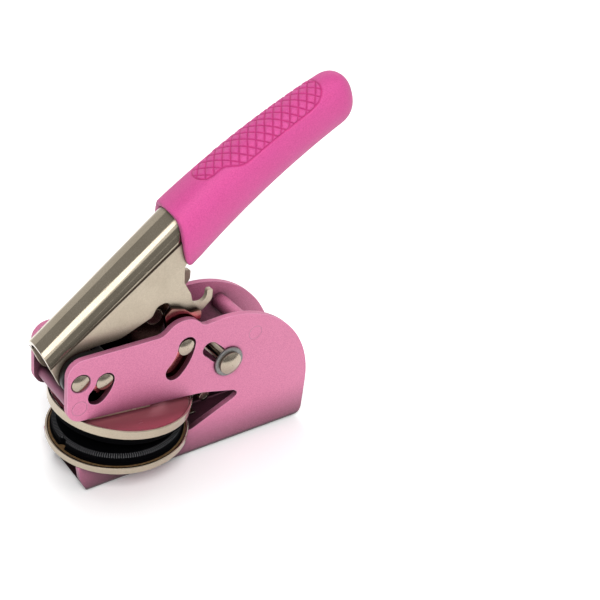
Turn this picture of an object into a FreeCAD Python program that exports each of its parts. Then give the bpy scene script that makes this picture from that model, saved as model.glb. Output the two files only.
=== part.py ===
import FreeCAD, Part
import math
import os

# Hand seal embosser: a folded channel frame whose two jaws hold a pair of round die pans, a folded
# lever with a soft grip, a press ram, and a sliding latch that holds the lever down for storage.
# Millimetres. X runs to the rear, Y across, Z up. The origin is where the die axis meets the
# plane that the base rests on. Everything is symmetric about Y = 0.

Vector = FreeCAD.Vector

# ---- frame: side plates and web of one folded sheet ----
FRAME_WIDTH = 25.0            # over the outer faces of the side plates
FRAME_SHEET = 2.0
BEND_RADIUS = 2.6             # outer radius of the fold between web and plates
BASE_FRONT_X = -17.1
SEAT_Z = 11.8                 # top edge of the lower jaw, which carries the die pan
SEAT_FRONT_X = -21.0
SEAT_REAR_X = 21.8
REAR_X = 70.5
REAR_CORNER_RADIUS = 5.0
DOME_TOP_Z = 54.6             # the round back of the frame
DOME_RADIUS = 38.1
JAW_FRONT_X = -25.3
JAW_TOP_Z = 54.0
JAW_CORNER_RADIUS = 5.6
JAW_UNDERSIDE_Z = 31.5        # lower edge of the upper jaw at its front
JAW_UNDERSIDE_SLOPE = 5.8     # degrees, falling to the rear
JAW_BREAK_X = 25.0            # where the lower edge turns down to the throat
JAW_BREAK_RADIUS = 14.0
THROAT_X = 38.2
THROAT_Z = 21.1
THROAT_HALF_GAP = 1.8
THROAT_DEPTH = 2.5            # the small notch at the throat's end
THROAT_TIP_RADIUS = 1.4
BUMP_X = 15.7                 # raised lobe over the ram guide slot
BUMP_HEIGHT = 4.2
BUMP_HALF_WIDTH = 3.4         # between the corners of its top
BUMP_RADIUS = 8.1
BUMP_FRONT_RADIUS = 5.0
BUMP_REAR_RADIUS = 3.0
DOME_LEAD = 0.5               # flat ahead of the round back
DOME_FRONT_RADIUS = 3.0
TOE_RADIUS = 0.8              # front end of the base
CHIN_OVERHANG = 3.2           # front of the lower jaw, ahead of the toe
CHIN_Z = 6.2
CHIN_RADIUS = 8.0
SEAT_FRONT_RADIUS = 0.6
SEAT_REAR_RADIUS = 3.0

# ---- cross pieces of the frame ----
SPACER_RADIUS = 2.9
SPACER_TENON_RADIUS = 2.55
FRONT_SPACER_X = -21.0
FRONT_SPACER_Z = 36.0
REAR_SPACER_X = 44.8
REAR_SPACER_Z = 44.8
INSERT_FRONT_X = -15.6
INSERT_REAR_X = 19.0
INSERT_SIDE_GAP = 0.1
INSERT_LEAN = 2.2             # its front follows the chin
INSERT_REAR_RADIUS = 1.0
INSERT_EDGE = 0.8             # chamfer that clears the fold's inner radius

# ---- lever pivot and the crank that drives the ram ----
PIVOT_X = -20.7
PIVOT_Z = 45.4
PIVOT_PIN_RADIUS = 2.95
PIVOT_RELIEF_RADIUS = 3.4     # countersink around the pin's end
PIVOT_RELIEF_DEPTH = 0.45
RUNNING_FIT = 0.05            # radial clearance of a pin in its hole
CRANK_RADIUS = 8.66
CRANK_ANGLE = -14.0           # degrees above +X at rest
CRANK_PIN_RADIUS = 2.9
PIN_SHORT = 0.2               # from a pin's end, without its dome, to the plate's outer face
PIN_DOME = 0.7
LEVER_TRAVEL = 31.0           # degrees from open to pressed
SLOT_CLEARANCE = 0.3          # on each side of a pin in its frame slot
CRANK_SLOT_LEAD = 1.5         # degrees of slot ahead of the rest position
CRANK_SLOT_OVERRUN = 4.0      # degrees of slot beyond full travel
LATCH_SLOT_END = 0.4          # length of the latch slot beyond the latch's travel, at each end

# ---- ram ----
RAM_PIN_SPAN_X = 29.5         # from the crank pin to the guide pin
RAM_PIN_SPAN_Z = 3.8
RAM_TURN_RATIO = 0.1          # the ram turns this share of the lever's turn
RAM_SHEET = 1.5
RAM_SIDE_GAP = 1.0            # from the ram's plates to the frame's
CRANK_EYE_RADIUS = 4.0
GUIDE_EYE_RADIUS = 4.8
FOOT_EYE_RADIUS = 3.2
GUIDE_PIN_RADIUS = 3.0
GUIDE_SLOT_LEAD = 3.0         # degrees of the guide slot's own arc
GUIDE_SLOT_OVERRUN = 13.0
BRIDGE_LENGTH = 10.0
BRIDGE_OFFSET = 6.0           # from the foot eye, along the ram's lower edge
TAIL_BEHIND = -1.9            # the tail that closes the guide slot, from the guide pin
TAIL_BELOW = 9.7
TAIL_RADIUS = 3.8
HEAD_FRONT = 7.2              # the head that rises beside the lever, from the guide pin
HEAD_FRONT_RISE = 12.2
HEAD_PEAK = 4.9
HEAD_PEAK_RISE = 14.6
HEAD_SHOULDER_RISE = 13.1
HEAD_DIP = 2.4
HEAD_DIP_RISE = 11.1
HEAD_REAR = 6.9
HEAD_REAR_RISE = 11.2
HEAD_CORNER_RADIUS = 1.2

# ---- press foot ----
FOOT_PIN_X = -6.6
FOOT_PIN_RADIUS = 1.75
FOOT_HEIGHT = 5.5             # underside to pin axis
FOOT_THICKNESS = 2.0
FOOT_FRONT = 12.9             # ahead of the pin
FOOT_REAR = 18.1
FOOT_SIDE_GAP = 1.0           # from the foot's edge to the frame's plates
FOOT_CORNER_RADIUS = 6.5
FOOT_EAR_SHEET = 1.5
FOOT_EAR_RADIUS = 3.0
FOOT_EAR_HALF_BASE = 4.5
FOOT_EAR_HALF_NECK = 2.8
FOOT_EAR_NECK = 0.8           # above the pin's axis
FOOT_EAR_LAP = 0.5
FOOT_REST_GAP = 0.65          # above the upper pan's floor
SIDE_PLAY = 0.1               # between flat faces that slide on each other

# ---- lever ----
LEVER_ANGLE = 40.0            # degrees of the handle's slope at rest
LEVER_SHEET = 1.5
LEVER_SIDE_SPACE = 3.0        # from the lever's plates to the frame's
BULB_INSET = 0.5              # the rounded back is narrower than the plates by this on each side
BULB_TOP = 14.0               # above the pivot, square to the lever
BULB_END = 64.0               # along the lever from the pivot
CREASE_FRONT = 8.3            # where the plates leave the bulb, at the front
CREASE_SLOPE = 0.0433         # fall of the crease per millimetre
BULB_LAP = 1.2                # overlap of bulb and plates
BULB_FRONT_LOW = -3.3         # along the lever, where the bulb's slanted front end starts
BULB_FRONT_HIGH = -0.4
CREASE_FRONT_ALONG = -1.7     # where the crease's height above the pivot is stated
PLATE_FRONT = -2.92           # front end of the plates, at the crease
PIVOT_LUG_RADIUS = 5.15
LUG_CUT_ANGLE = 112.5         # degrees, where the plate's front edge meets the pivot lug
CRANK_LUG_RADIUS = 4.6
FRONT_TUBE_GAP = 0.35         # between the crank arm and the frame's front tube
NOTCH_X = 24.1                # latch notch in the hook
NOTCH_Z = 62.4
NOTCH_RADIUS = 2.6
NOTCH_LIP = 1.6               # height of the notch's sides above its centre
NOTCH_FRONT = 1.0             # the front side leans forward by this
NOTCH_FRONT_RADIUS = 4.0
NOTCH_SHORT = 0.02            # keeps a straight between the notch's two corners
HOOK_THICKNESS = 2.2
HOOK_TIP_RADIUS = 0.7
HOOK_BACK_RADIUS = 1.0
HOOK_CORNER = 2.5             # rounding of the hook's underside
HOOK_LOW = 6.0                # underside below the notch's centre
HOOK_BELLY = 3.6              # ahead of the hook's back, where the underside starts
HOOK_CHEST = 8.0
HOOK_THROAT = 11.4
HOOK_NECK_LOW = 2.4           # below the notch's centre, ahead of the hook
ARCH_REAR = 15.2              # ahead of the hook's back: rear foot of the small arch
ARCH_REAR_TOP = 16.9
ARCH_FRONT_TOP = 20.9
ARCH_FRONT = 22.4
ARCH_HEIGHT = 1.3             # above the notch's centre
ARCH_FRONT_LOW = 3.3
NECK_REAR = 16.0              # behind the pivot, the neck's lower edge
NECK_REAR_Z = 8.8             # above the pivot
NECK_FRONT = 3.8
NECK_FRONT_Z = 8.4
NECK_FRONT_RADIUS = 2.6
NECK_FOOT = 4.6
NECK_FOOT_Z = 1.0
PLATE_HEEL = 44.5             # along the lever: lower edge ahead of the grip
PLATE_HEEL_LOW = 6.6
PLATE_STEP = 48.3
PLATE_FOOT_ALONG = 52.0       # lower edge of the plates inside the grip
PLATE_FOOT = -1.6
PLATE_END_FOOT = 1.0

# ---- grip ----
GRIP_AXIS = 4.56              # above the pivot, square to the lever
GRIP_STRAIGHT = 55.0          # from here on the grip curves down
GRIP_CURVE_RADIUS = 278.0
GRIP_START = 44.0
GRIP_END = 128.0
GRIP_HALF_HEIGHT = 11.1       # at its mouth
GRIP_HEIGHT_TAPER = 0.026     # loss of half height per millimetre
GRIP_SIDE_WALL = 2.0          # grip outside the lever's plates at its mouth
GRIP_WIDTH_TAPER = 0.045
GRIP_NOSE = 8.0               # length of the rounded end
GRIP_SQUARENESS = 2.4         # 2 is an ellipse, more is squarer
GRIP_FIT = 0.1
MOUTH_TOP = 56.4              # along the lever: the mouth's edge across the grip's back
MOUTH_SHOULDER = 12.6         # above the pivot, where the mouth sweeps forward
MOUTH_SHOULDER_RADIUS = 6.0
MOUTH_WAIST = 51.0
MOUTH_WAIST_ABOVE = 3.6
MOUTH_WAIST_RADIUS = 5.0
MOUTH_LIP = 48.9
MOUTH_LIP_ABOVE = -1.6
MOUTH_LIP_RADIUS = 2.5
MOUTH_CHIN = 50.2
MOUTH_CHIN_ABOVE = -6.0
MOUTH_CHIN_RADIUS = 4.0
MOUTH_FOOT = 54.0
MOUTH_FOOT_ABOVE = -14.0
TANG_START = 60.0
TANG_END = 116.0
TANG_SIDE_SPACE = 2.5         # tang narrower than the lever by this on each side
TANG_TOP = 8.5                # above the pivot at its start
TANG_FALL = 0.14              # its slope against the lever's
TANG_HEIGHT = 7.0

# ---- die set ----
PAN_RADIUS = 24.0
PAN_SHEET = 0.8
PAN_WALL = 0.9
PAN_EDGE_RADIUS = 0.3
LOWER_PAN_HEIGHT = 2.5
UPPER_PAN_HEIGHT = 3.3
FIBRE_THICKNESS = 1.4
FIBRE_GAP = 0.1
DIE_INSET = 2.2               # die smaller in radius than the pan
DIE_FLANGE_INSET = 1.6
DIE_FLANGE_HEIGHT = 1.0
LOWER_DIE_THICKNESS = 3.6
COUNTER_DIE_THICKNESS = 3.6
DIE_CLOSED_GAP = 0.3          # a sheet of paper
DIE_NOTCH_ANGLE = -148.0
DIE_NOTCH_SIZE = 1.6
DIE_EDGE = 0.3                # broken edge of the dies
PAN_OPEN_ANGLE = 6.3          # tilt of the upper pan at rest
CLIP_X = 29.9                 # clip hinge
CLIP_Z = 19.5
CLIP_PIN_RADIUS = 1.0
CLIP_BARREL_RADIUS = 1.9
CLIP_HALF_WIDTH = 7.0
CLIP_CENTRE_KNUCKLE = 2.0     # half width of the lower pan's knuckle
CLIP_SIDE_KNUCKLE = 4.6       # inner end of the upper pan's knuckles
CLIP_WIRE_RADIUS = 0.35
CLIP_COIL_GAP = 0.1           # between the coil's ends and the knuckles
CLIP_COIL_FIT = 0.15          # around the clip pin
CLIP_PITCH_GAP = 0.03
LOWER_TONGUE_BELOW = 0.4      # tongue's upper face below the lower pan's rim
LOWER_TONGUE_SHORT = 3.2      # the wide part ends this far ahead of the clip pin
RAMP_LAP = 0.4                # overlap of the wide part and the ramp
RAMP_END_BEHIND = 1.25        # where the ramp meets the rolled knuckle
RAMP_END_BELOW = 0.9
UPPER_TONGUE_ABOVE = 0.2
UPPER_TONGUE_BEHIND = 0.3
FORK_DEPTH = 3.4              # the fork's gap ahead of the clip pin

# ---- return springs: open rings of flat spring steel around the pivot ----
SLEEVE_RADIUS = 3.5
SPRING_BEHIND = 2.3           # the ring's centre behind the pivot
SPRING_ABOVE = 0.8            # and above it
SPRING_RADIUS = 7.4           # outside
SPRING_THICKNESS = 1.2
SPRING_WIDTH = 2.6
SPRING_SIDE_GAP = 0.15        # to the frame's plate
SPRING_FOOT_ANGLE = 262.0     # where the ring ends, on the front tube
SPRING_ARM = 6.8              # length of the arm under the lever, from the ring's centre
SPRING_TAB = 2.5              # length of the tab that reaches under the lever's plate

# ---- latch ----
LATCH_X = 34.3                # rest place, at the rear end of its slot
LATCH_Z = 36.6
LATCH_TRAVEL = 10.0
LATCH_SLOPE = 138.0           # degrees of the way forward and up
LATCH_PIN_RADIUS = 2.4
LATCH_SLOT_HALF_WIDTH = 2.9
LATCH_HEAD_RADIUS = 4.15
LATCH_HEAD_HEIGHT = 0.9
LATCH_HEAD_DOME = 1.1
WASHER_RADIUS = 5.5
WASHER_THICKNESS = 0.9

# ---- derived places ----
FRAME_HALF = FRAME_WIDTH / 2
FRAME_INNER = FRAME_HALF - FRAME_SHEET
PIN_END_Y = FRAME_HALF - PIN_SHORT
RAM_INNER_Y = FRAME_INNER - RAM_SIDE_GAP - RAM_SHEET
FOOT_HALF_WIDTH = FRAME_INNER - FOOT_SIDE_GAP
LEVER_HALF_WIDTH = FRAME_INNER - LEVER_SIDE_SPACE
BULB_RADIUS = LEVER_HALF_WIDTH - BULB_INSET
TANG_HALF_WIDTH = LEVER_HALF_WIDTH - TANG_SIDE_SPACE
GRIP_HALF_WIDTH = LEVER_HALF_WIDTH + GRIP_SIDE_WALL
DIE_RADIUS = PAN_RADIUS - DIE_INSET
DIE_FLANGE_RADIUS = PAN_RADIUS - DIE_FLANGE_INSET
SPRING_X = PIVOT_X + SPRING_BEHIND
SPRING_Z = PIVOT_Z + SPRING_ABOVE
SPRING_ARM_X = SPRING_X + SPRING_ARM
SPRING_OUTER_Y = FRAME_INNER - SPRING_SIDE_GAP
SPRING_INNER_Y = SPRING_OUTER_Y - SPRING_WIDTH


def from_pivot(radius, degrees):
    """Point (x, z) at a radius and angle from the lever pivot."""
    angle = math.radians(degrees)
    return (PIVOT_X + radius * math.cos(angle), PIVOT_Z + radius * math.sin(angle))


def turned(x, z, degrees):
    """The vector (x, z) turned about +Y; positive lowers what points to +X."""
    angle = math.radians(degrees)
    return (x * math.cos(angle) + z * math.sin(angle), z * math.cos(angle) - x * math.sin(angle))


def lever_point(along, above):
    """Point (x, z) given along the lever's slope and square to it, from the pivot."""
    angle = math.radians(LEVER_ANGLE)
    return (PIVOT_X + along * math.cos(angle) - above * math.sin(angle),
            PIVOT_Z + along * math.sin(angle) + above * math.cos(angle))


def guide_pin_place(lever_turn):
    """Centre (x, z) of the ram's guide pin for a turn of the lever in degrees."""
    crank_x, crank_z = from_pivot(CRANK_RADIUS, CRANK_ANGLE - lever_turn)
    span_x, span_z = turned(RAM_PIN_SPAN_X, RAM_PIN_SPAN_Z, RAM_TURN_RATIO * lever_turn)
    return (crank_x + span_x, crank_z + span_z)


CRANK_X, CRANK_Z = from_pivot(CRANK_RADIUS, CRANK_ANGLE)
GUIDE_X, GUIDE_Z = guide_pin_place(0.0)
LOWER_PAN_FLOOR_Z = SEAT_Z + PAN_SHEET
LOWER_DIE_Z = LOWER_PAN_FLOOR_Z + FIBRE_THICKNESS
LOWER_DIE_TOP_Z = LOWER_DIE_Z + LOWER_DIE_THICKNESS
COUNTER_DIE_Z = LOWER_DIE_TOP_Z + DIE_CLOSED_GAP
UPPER_PAN_Z = COUNTER_DIE_Z + COUNTER_DIE_THICKNESS
UPPER_FLOOR_TOP_Z = UPPER_PAN_Z + PAN_SHEET


def upper_floor_height(x):
    """Height of the upper pan's floor at rest, at a place x."""
    rise = math.tan(math.radians(PAN_OPEN_ANGLE))
    level = CLIP_Z + (UPPER_FLOOR_TOP_Z - CLIP_Z) / math.cos(math.radians(PAN_OPEN_ANGLE))
    return level + (CLIP_X - x) * rise


FOOT_PIN_Z = upper_floor_height(FOOT_PIN_X) + (
    (FOOT_HEIGHT + FOOT_REST_GAP) / math.cos(math.radians(PAN_OPEN_ANGLE)))


# ---- drawing helpers ----
def side_plane(y):
    """Places an (x, z) pair in the plane Y = y."""
    return lambda u, v: Vector(u, y, v)


def cross_plane(x):
    """Places a (y, z) pair in the plane X = x."""
    return lambda u, v: Vector(x, u, v)


def level_plane(z):
    """Places an (x, y) pair in the plane Z = z."""
    return lambda u, v: Vector(u, v, z)


def unit(a, b):
    """Unit vector from a to b, and their distance."""
    length = math.hypot(b[0] - a[0], b[1] - a[1])
    return ((b[0] - a[0]) / length, (b[1] - a[1]) / length), length


def corner_cut(before, corner, after, radius):
    """Start, middle and end of the arc that rounds a corner with this radius."""
    to_before, _ = unit(corner, before)
    to_after, _ = unit(corner, after)
    cosine = to_before[0] * to_after[0] + to_before[1] * to_after[1]
    half = math.acos(max(-1.0, min(1.0, cosine))) / 2
    reach = radius / math.tan(half)
    middle = (to_before[0] + to_after[0], to_before[1] + to_after[1])
    size = math.hypot(*middle)
    depth = radius / math.sin(half) - radius
    start = (corner[0] + to_before[0] * reach, corner[1] + to_before[1] * reach)
    end = (corner[0] + to_after[0] * reach, corner[1] + to_after[1] * reach)
    centre = (corner[0] + middle[0] / size * depth, corner[1] + middle[1] / size * depth)
    return start, centre, end


def outline(corners, place):
    """Closed wire through (u, v, radius) corners, each rounded by its radius."""
    pieces = []
    count = len(corners)
    for i, (u, v, radius) in enumerate(corners):
        before = corners[i - 1][:2]
        after = corners[(i + 1) % count][:2]
        if radius > 0:
            pieces.append(corner_cut(before, (u, v), after, radius))
        else:
            pieces.append(((u, v), None, (u, v)))
    edges = []
    for i, (start, middle, end) in enumerate(pieces):
        if middle is not None:
            edges.append(Part.Arc(place(*start), place(*middle), place(*end)).toShape())
        following = pieces[(i + 1) % count][0]
        if math.hypot(following[0] - end[0], following[1] - end[1]) > 1e-6:
            edges.append(Part.LineSegment(place(*end), place(*following)).toShape())
    return Part.Wire(edges)


def plate(corners, y_from, y_to):
    """Solid with the side outline `corners`, between two Y planes."""
    face = Part.Face(outline(corners, side_plane(y_from)))
    return face.extrude(Vector(0, y_to - y_from, 0))


def rod(x, z, radius, y_from, y_to):
    """Round bar along Y."""
    return Part.makeCylinder(radius, y_to - y_from, Vector(x, y_from, z), Vector(0, 1, 0))


def domed_rod(x, z, radius, half_length, dome):
    """Round bar along Y with a spherical dome on each end."""
    ball = (radius ** 2 + dome ** 2) / (2 * dome)
    half_angle = math.asin(min(1.0, radius / ball)) / 2
    tip = half_length + dome
    bulge = (ball * math.sin(half_angle), tip - ball * (1 - math.cos(half_angle)))
    place = lambda u, v: Vector(x + u, v, z)
    edges = [
        Part.Arc(place(0, -tip), place(bulge[0], -bulge[1]), place(radius, -half_length)).toShape(),
        Part.LineSegment(place(radius, -half_length), place(radius, half_length)).toShape(),
        Part.Arc(place(radius, half_length), place(*bulge), place(0, tip)).toShape(),
        Part.LineSegment(place(0, tip), place(0, -tip)).toShape(),
    ]
    return Part.Face(Part.Wire(edges)).revolve(Vector(x, 0, z), Vector(0, 1, 0), 360)


def mirrored(shape):
    """The same shape on the other side of Y = 0."""
    return shape.mirror(Vector(0, 0, 0), Vector(0, 1, 0))


def pair(shape):
    """Two separate solids, one on each side."""
    return Part.makeCompound([shape, mirrored(shape)])


def fused(shapes):
    """One solid from overlapping shapes."""
    body = shapes[0].fuse(shapes[1:]) if len(shapes) > 1 else shapes[0]
    return body.removeSplitter()


def link(p, p_radius, q, q_radius, y_from, y_to):
    """Plate around two discs, with straight sides that touch both."""
    (ux, uz), length = unit(p, q)
    slope = math.atan2(uz, ux)
    swing = math.acos((p_radius - q_radius) / length)
    place = side_plane(y_from)

    def on(centre, radius, angle):
        return place(centre[0] + radius * math.cos(angle), centre[1] + radius * math.sin(angle))

    edges = [
        Part.LineSegment(on(p, p_radius, slope - swing), on(q, q_radius, slope - swing)).toShape(),
        Part.Arc(on(q, q_radius, slope - swing), on(q, q_radius, slope),
                 on(q, q_radius, slope + swing)).toShape(),
        Part.LineSegment(on(q, q_radius, slope + swing), on(p, p_radius, slope + swing)).toShape(),
        Part.Arc(on(p, p_radius, slope + swing), on(p, p_radius, slope + math.pi),
                 on(p, p_radius, slope - swing)).toShape(),
    ]
    return Part.Face(Part.Wire(edges)).extrude(Vector(0, y_to - y_from, 0))


def arc_slot(centre, radius, start, end, half_width):
    """Through cutter for a slot along an arc; angles in degrees above +X, end below start."""
    reach = FRAME_WIDTH
    place = side_plane(-reach)
    first, last = math.radians(start), math.radians(end)

    def on(r, angle, forward=0.0):
        return place(centre[0] + r * math.cos(angle) + forward * math.sin(angle),
                     centre[1] + r * math.sin(angle) - forward * math.cos(angle))

    outer, inner, mid = radius + half_width, radius - half_width, (first + last) / 2
    edges = [
        Part.Arc(on(outer, first), on(outer, mid), on(outer, last)).toShape(),
        Part.Arc(on(outer, last), on(radius, last, half_width), on(inner, last)).toShape(),
        Part.Arc(on(inner, last), on(inner, mid), on(inner, first)).toShape(),
        Part.Arc(on(inner, first), on(radius, first, -half_width), on(outer, first)).toShape(),
    ]
    return Part.Face(Part.Wire(edges)).extrude(Vector(0, 2 * reach, 0))


def circle_through(a, b, c):
    """Centre and radius of the circle through three (x, z) points."""
    d = 2 * (a[0] * (b[1] - c[1]) + b[0] * (c[1] - a[1]) + c[0] * (a[1] - b[1]))
    sums = [p[0] ** 2 + p[1] ** 2 for p in (a, b, c)]
    x = (sums[0] * (b[1] - c[1]) + sums[1] * (c[1] - a[1]) + sums[2] * (a[1] - b[1])) / d
    z = (sums[0] * (c[0] - b[0]) + sums[1] * (a[0] - c[0]) + sums[2] * (b[0] - a[0])) / d
    return (x, z), math.hypot(a[0] - x, a[1] - z)


def tilt_open(shape):
    """Swings a shape of the upper pan from closed to its rest place."""
    shape = shape.copy()
    shape.rotate(Vector(CLIP_X, 0, CLIP_Z), Vector(0, 1, 0), PAN_OPEN_ANGLE)
    return shape


# ---- frame ----
def jaw_underside(x):
    """Height of the upper jaw's lower edge."""
    return JAW_UNDERSIDE_Z - (x - JAW_FRONT_X) * math.tan(math.radians(JAW_UNDERSIDE_SLOPE))


def frame_outline():
    """Side view of the frame, clockwise from the front of the upper jaw."""
    bump_top = JAW_TOP_Z + BUMP_HEIGHT
    return [
        (JAW_FRONT_X, JAW_TOP_Z, JAW_CORNER_RADIUS),
        (BUMP_X - BUMP_HALF_WIDTH - BUMP_HEIGHT, JAW_TOP_Z, BUMP_FRONT_RADIUS),
        (BUMP_X - BUMP_HALF_WIDTH, bump_top, BUMP_RADIUS),
        (BUMP_X + BUMP_HALF_WIDTH, bump_top, BUMP_RADIUS),
        (BUMP_X + BUMP_HALF_WIDTH + BUMP_HEIGHT, JAW_TOP_Z, BUMP_REAR_RADIUS),
        (REAR_X - DOME_RADIUS - DOME_LEAD, DOME_TOP_Z, DOME_FRONT_RADIUS),
        (REAR_X, DOME_TOP_Z, DOME_RADIUS),
        (REAR_X, 0.0, REAR_CORNER_RADIUS),
        (BASE_FRONT_X, 0.0, TOE_RADIUS),
        (BASE_FRONT_X - CHIN_OVERHANG, CHIN_Z, CHIN_RADIUS),
        (SEAT_FRONT_X, SEAT_Z, SEAT_FRONT_RADIUS),
        (SEAT_REAR_X, SEAT_Z, SEAT_REAR_RADIUS),
        (THROAT_X, THROAT_Z - THROAT_HALF_GAP, 0.0),
        (THROAT_X + THROAT_DEPTH, THROAT_Z, THROAT_TIP_RADIUS),
        (THROAT_X, THROAT_Z + THROAT_HALF_GAP, 0.0),
        (JAW_BREAK_X, jaw_underside(JAW_BREAK_X), JAW_BREAK_RADIUS),
        (JAW_FRONT_X, jaw_underside(JAW_FRONT_X), JAW_CORNER_RADIUS),
    ]


def channel_section():
    """Folded channel, open at the top, over the frame's whole length."""
    height = JAW_TOP_Z + BUMP_HEIGHT + BEND_RADIUS
    inner_radius = BEND_RADIUS - FRAME_SHEET
    corners = [
        (-FRAME_HALF, 0.0, BEND_RADIUS),
        (FRAME_HALF, 0.0, BEND_RADIUS),
        (FRAME_HALF, height, 0.0),
        (FRAME_INNER, height, 0.0),
        (FRAME_INNER, FRAME_SHEET, inner_radius),
        (-FRAME_INNER, FRAME_SHEET, inner_radius),
        (-FRAME_INNER, height, 0.0),
        (-FRAME_HALF, height, 0.0),
    ]
    start = JAW_FRONT_X - BEND_RADIUS
    face = Part.Face(outline(corners, cross_plane(start)))
    return face.extrude(Vector(REAR_X + BEND_RADIUS - start, 0, 0))


def latch_place(travel):
    """Centre (x, z) of the latch pin after this travel."""
    angle = math.radians(LATCH_SLOPE)
    return (LATCH_X + travel * math.cos(angle), LATCH_Z + travel * math.sin(angle))


def frame_cuts():
    """Holes and slots through both side plates."""
    reach = FRAME_WIDTH
    cuts = [
        rod(PIVOT_X, PIVOT_Z, PIVOT_PIN_RADIUS + RUNNING_FIT, -reach, reach),
        rod(FRONT_SPACER_X, FRONT_SPACER_Z, SPACER_TENON_RADIUS, -reach, reach),
        rod(REAR_SPACER_X, REAR_SPACER_Z, SPACER_TENON_RADIUS, -reach, reach),
    ]
    for side in (-1, 1):
        cuts.append(Part.makeCone(
            PIVOT_PIN_RADIUS + RUNNING_FIT, PIVOT_RELIEF_RADIUS, PIVOT_RELIEF_DEPTH,
            Vector(PIVOT_X, side * (FRAME_HALF - PIVOT_RELIEF_DEPTH), PIVOT_Z), Vector(0, side, 0)))
    cuts.append(arc_slot(
        (PIVOT_X, PIVOT_Z), CRANK_RADIUS, CRANK_ANGLE + CRANK_SLOT_LEAD,
        CRANK_ANGLE - LEVER_TRAVEL - CRANK_SLOT_OVERRUN, CRANK_PIN_RADIUS + SLOT_CLEARANCE))
    start, middle, end = (guide_pin_place(LEVER_TRAVEL * share) for share in (0.0, 0.5, 1.0))
    centre, radius = circle_through(start, middle, end)
    angle_of = lambda p: math.degrees(math.atan2(p[1] - centre[1], p[0] - centre[0]))
    cuts.append(arc_slot(
        centre, radius, angle_of(start) + GUIDE_SLOT_LEAD, angle_of(end) - GUIDE_SLOT_OVERRUN,
        GUIDE_PIN_RADIUS + SLOT_CLEARANCE))
    cuts.append(link(latch_place(-LATCH_SLOT_END), LATCH_SLOT_HALF_WIDTH,
                     latch_place(LATCH_TRAVEL + LATCH_SLOT_END), LATCH_SLOT_HALF_WIDTH,
                     -reach, reach))
    return cuts


def frame_channel():
    """The folded frame: web, two side plates, their holes and slots."""
    body = channel_section().common(plate(frame_outline(), -FRAME_WIDTH, FRAME_WIDTH))
    return body.cut(frame_cuts()).removeSplitter()


def spacer(x, z):
    """Cross tube between the plates, with tenons riveted flush into them."""
    return fused([rod(x, z, SPACER_RADIUS, -FRAME_INNER, FRAME_INNER),
                  rod(x, z, SPACER_TENON_RADIUS, -FRAME_HALF, FRAME_HALF)])


def jaw_insert():
    """Block that fills the lower jaw and backs the lower pan."""
    half = FRAME_INNER - INSERT_SIDE_GAP
    block = plate([(INSERT_FRONT_X, FRAME_SHEET, 0.0), (INSERT_FRONT_X - INSERT_LEAN, SEAT_Z, 0.0),
                   (INSERT_REAR_X, SEAT_Z, INSERT_REAR_RADIUS), (INSERT_REAR_X, FRAME_SHEET, 0.0)],
                  -half, half)
    lower_edges = [e for e in block.Edges
                   if abs(e.BoundBox.ZMax - FRAME_SHEET) < 1e-6 and e.BoundBox.XLength > half]
    return block.makeChamfer(INSERT_EDGE, lower_edges)


# ---- lever ----
def crease(along):
    """Height of the crease between bulb and plates, square to the lever."""
    return CREASE_FRONT - CREASE_SLOPE * (along - CREASE_FRONT_ALONG)


def lever_plate_outline():
    """Side view of a lever plate: crease, tang, hook, arch and the neck above the lug."""
    tangent = math.radians(LUG_CUT_ANGLE)
    cut_foot = (PIVOT_X - PIVOT_LUG_RADIUS * math.sin(tangent),
                PIVOT_Z + PIVOT_LUG_RADIUS * math.cos(tangent))
    notch_corner = NOTCH_RADIUS - NOTCH_SHORT
    inner = NOTCH_X + NOTCH_RADIUS
    back = inner + HOOK_THICKNESS
    return [
        (*lever_point(PLATE_FRONT, crease(PLATE_FRONT)), 0.0),
        (*lever_point(BULB_END, crease(BULB_END)), 0.0),
        (*lever_point(BULB_END, PLATE_END_FOOT), 0.0),
        (*lever_point(PLATE_FOOT_ALONG, PLATE_FOOT), HOOK_CORNER),
        (*lever_point(PLATE_STEP, PLATE_FOOT), HOOK_CORNER),
        (*lever_point(PLATE_HEEL, -PLATE_HEEL_LOW), HOOK_CORNER),
        (NOTCH_X - NOTCH_RADIUS - NOTCH_FRONT, NOTCH_Z + NOTCH_LIP, NOTCH_FRONT_RADIUS),
        (NOTCH_X - NOTCH_RADIUS, NOTCH_Z - NOTCH_RADIUS, notch_corner),
        (inner, NOTCH_Z - NOTCH_RADIUS, notch_corner),
        (inner, NOTCH_Z + NOTCH_LIP, HOOK_TIP_RADIUS),
        (back, NOTCH_Z + NOTCH_LIP, HOOK_BACK_RADIUS),
        (back, NOTCH_Z - HOOK_NECK_LOW, HOOK_CORNER),
        (back - HOOK_BELLY, NOTCH_Z - HOOK_LOW, HOOK_CORNER),
        (back - HOOK_CHEST, NOTCH_Z - HOOK_LOW, HOOK_CORNER),
        (back - HOOK_THROAT, NOTCH_Z - HOOK_NECK_LOW, HOOK_CORNER),
        (back - ARCH_REAR, NOTCH_Z - HOOK_NECK_LOW, HOOK_BACK_RADIUS),
        (back - ARCH_REAR_TOP, NOTCH_Z + ARCH_HEIGHT, HOOK_CORNER),
        (back - ARCH_FRONT_TOP, NOTCH_Z, HOOK_CORNER),
        (back - ARCH_FRONT, NOTCH_Z - ARCH_FRONT_LOW, HOOK_CORNER),
        (PIVOT_X + NECK_REAR, PIVOT_Z + NECK_REAR_Z, CHIN_RADIUS),
        (PIVOT_X + NECK_FRONT, PIVOT_Z + NECK_FRONT_Z, NECK_FRONT_RADIUS),
        (PIVOT_X + NECK_FOOT, PIVOT_Z + NECK_FOOT_Z, 0.0),
        (PIVOT_X, PIVOT_Z, 0.0),
        (*cut_foot, 0.0),
    ]


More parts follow.
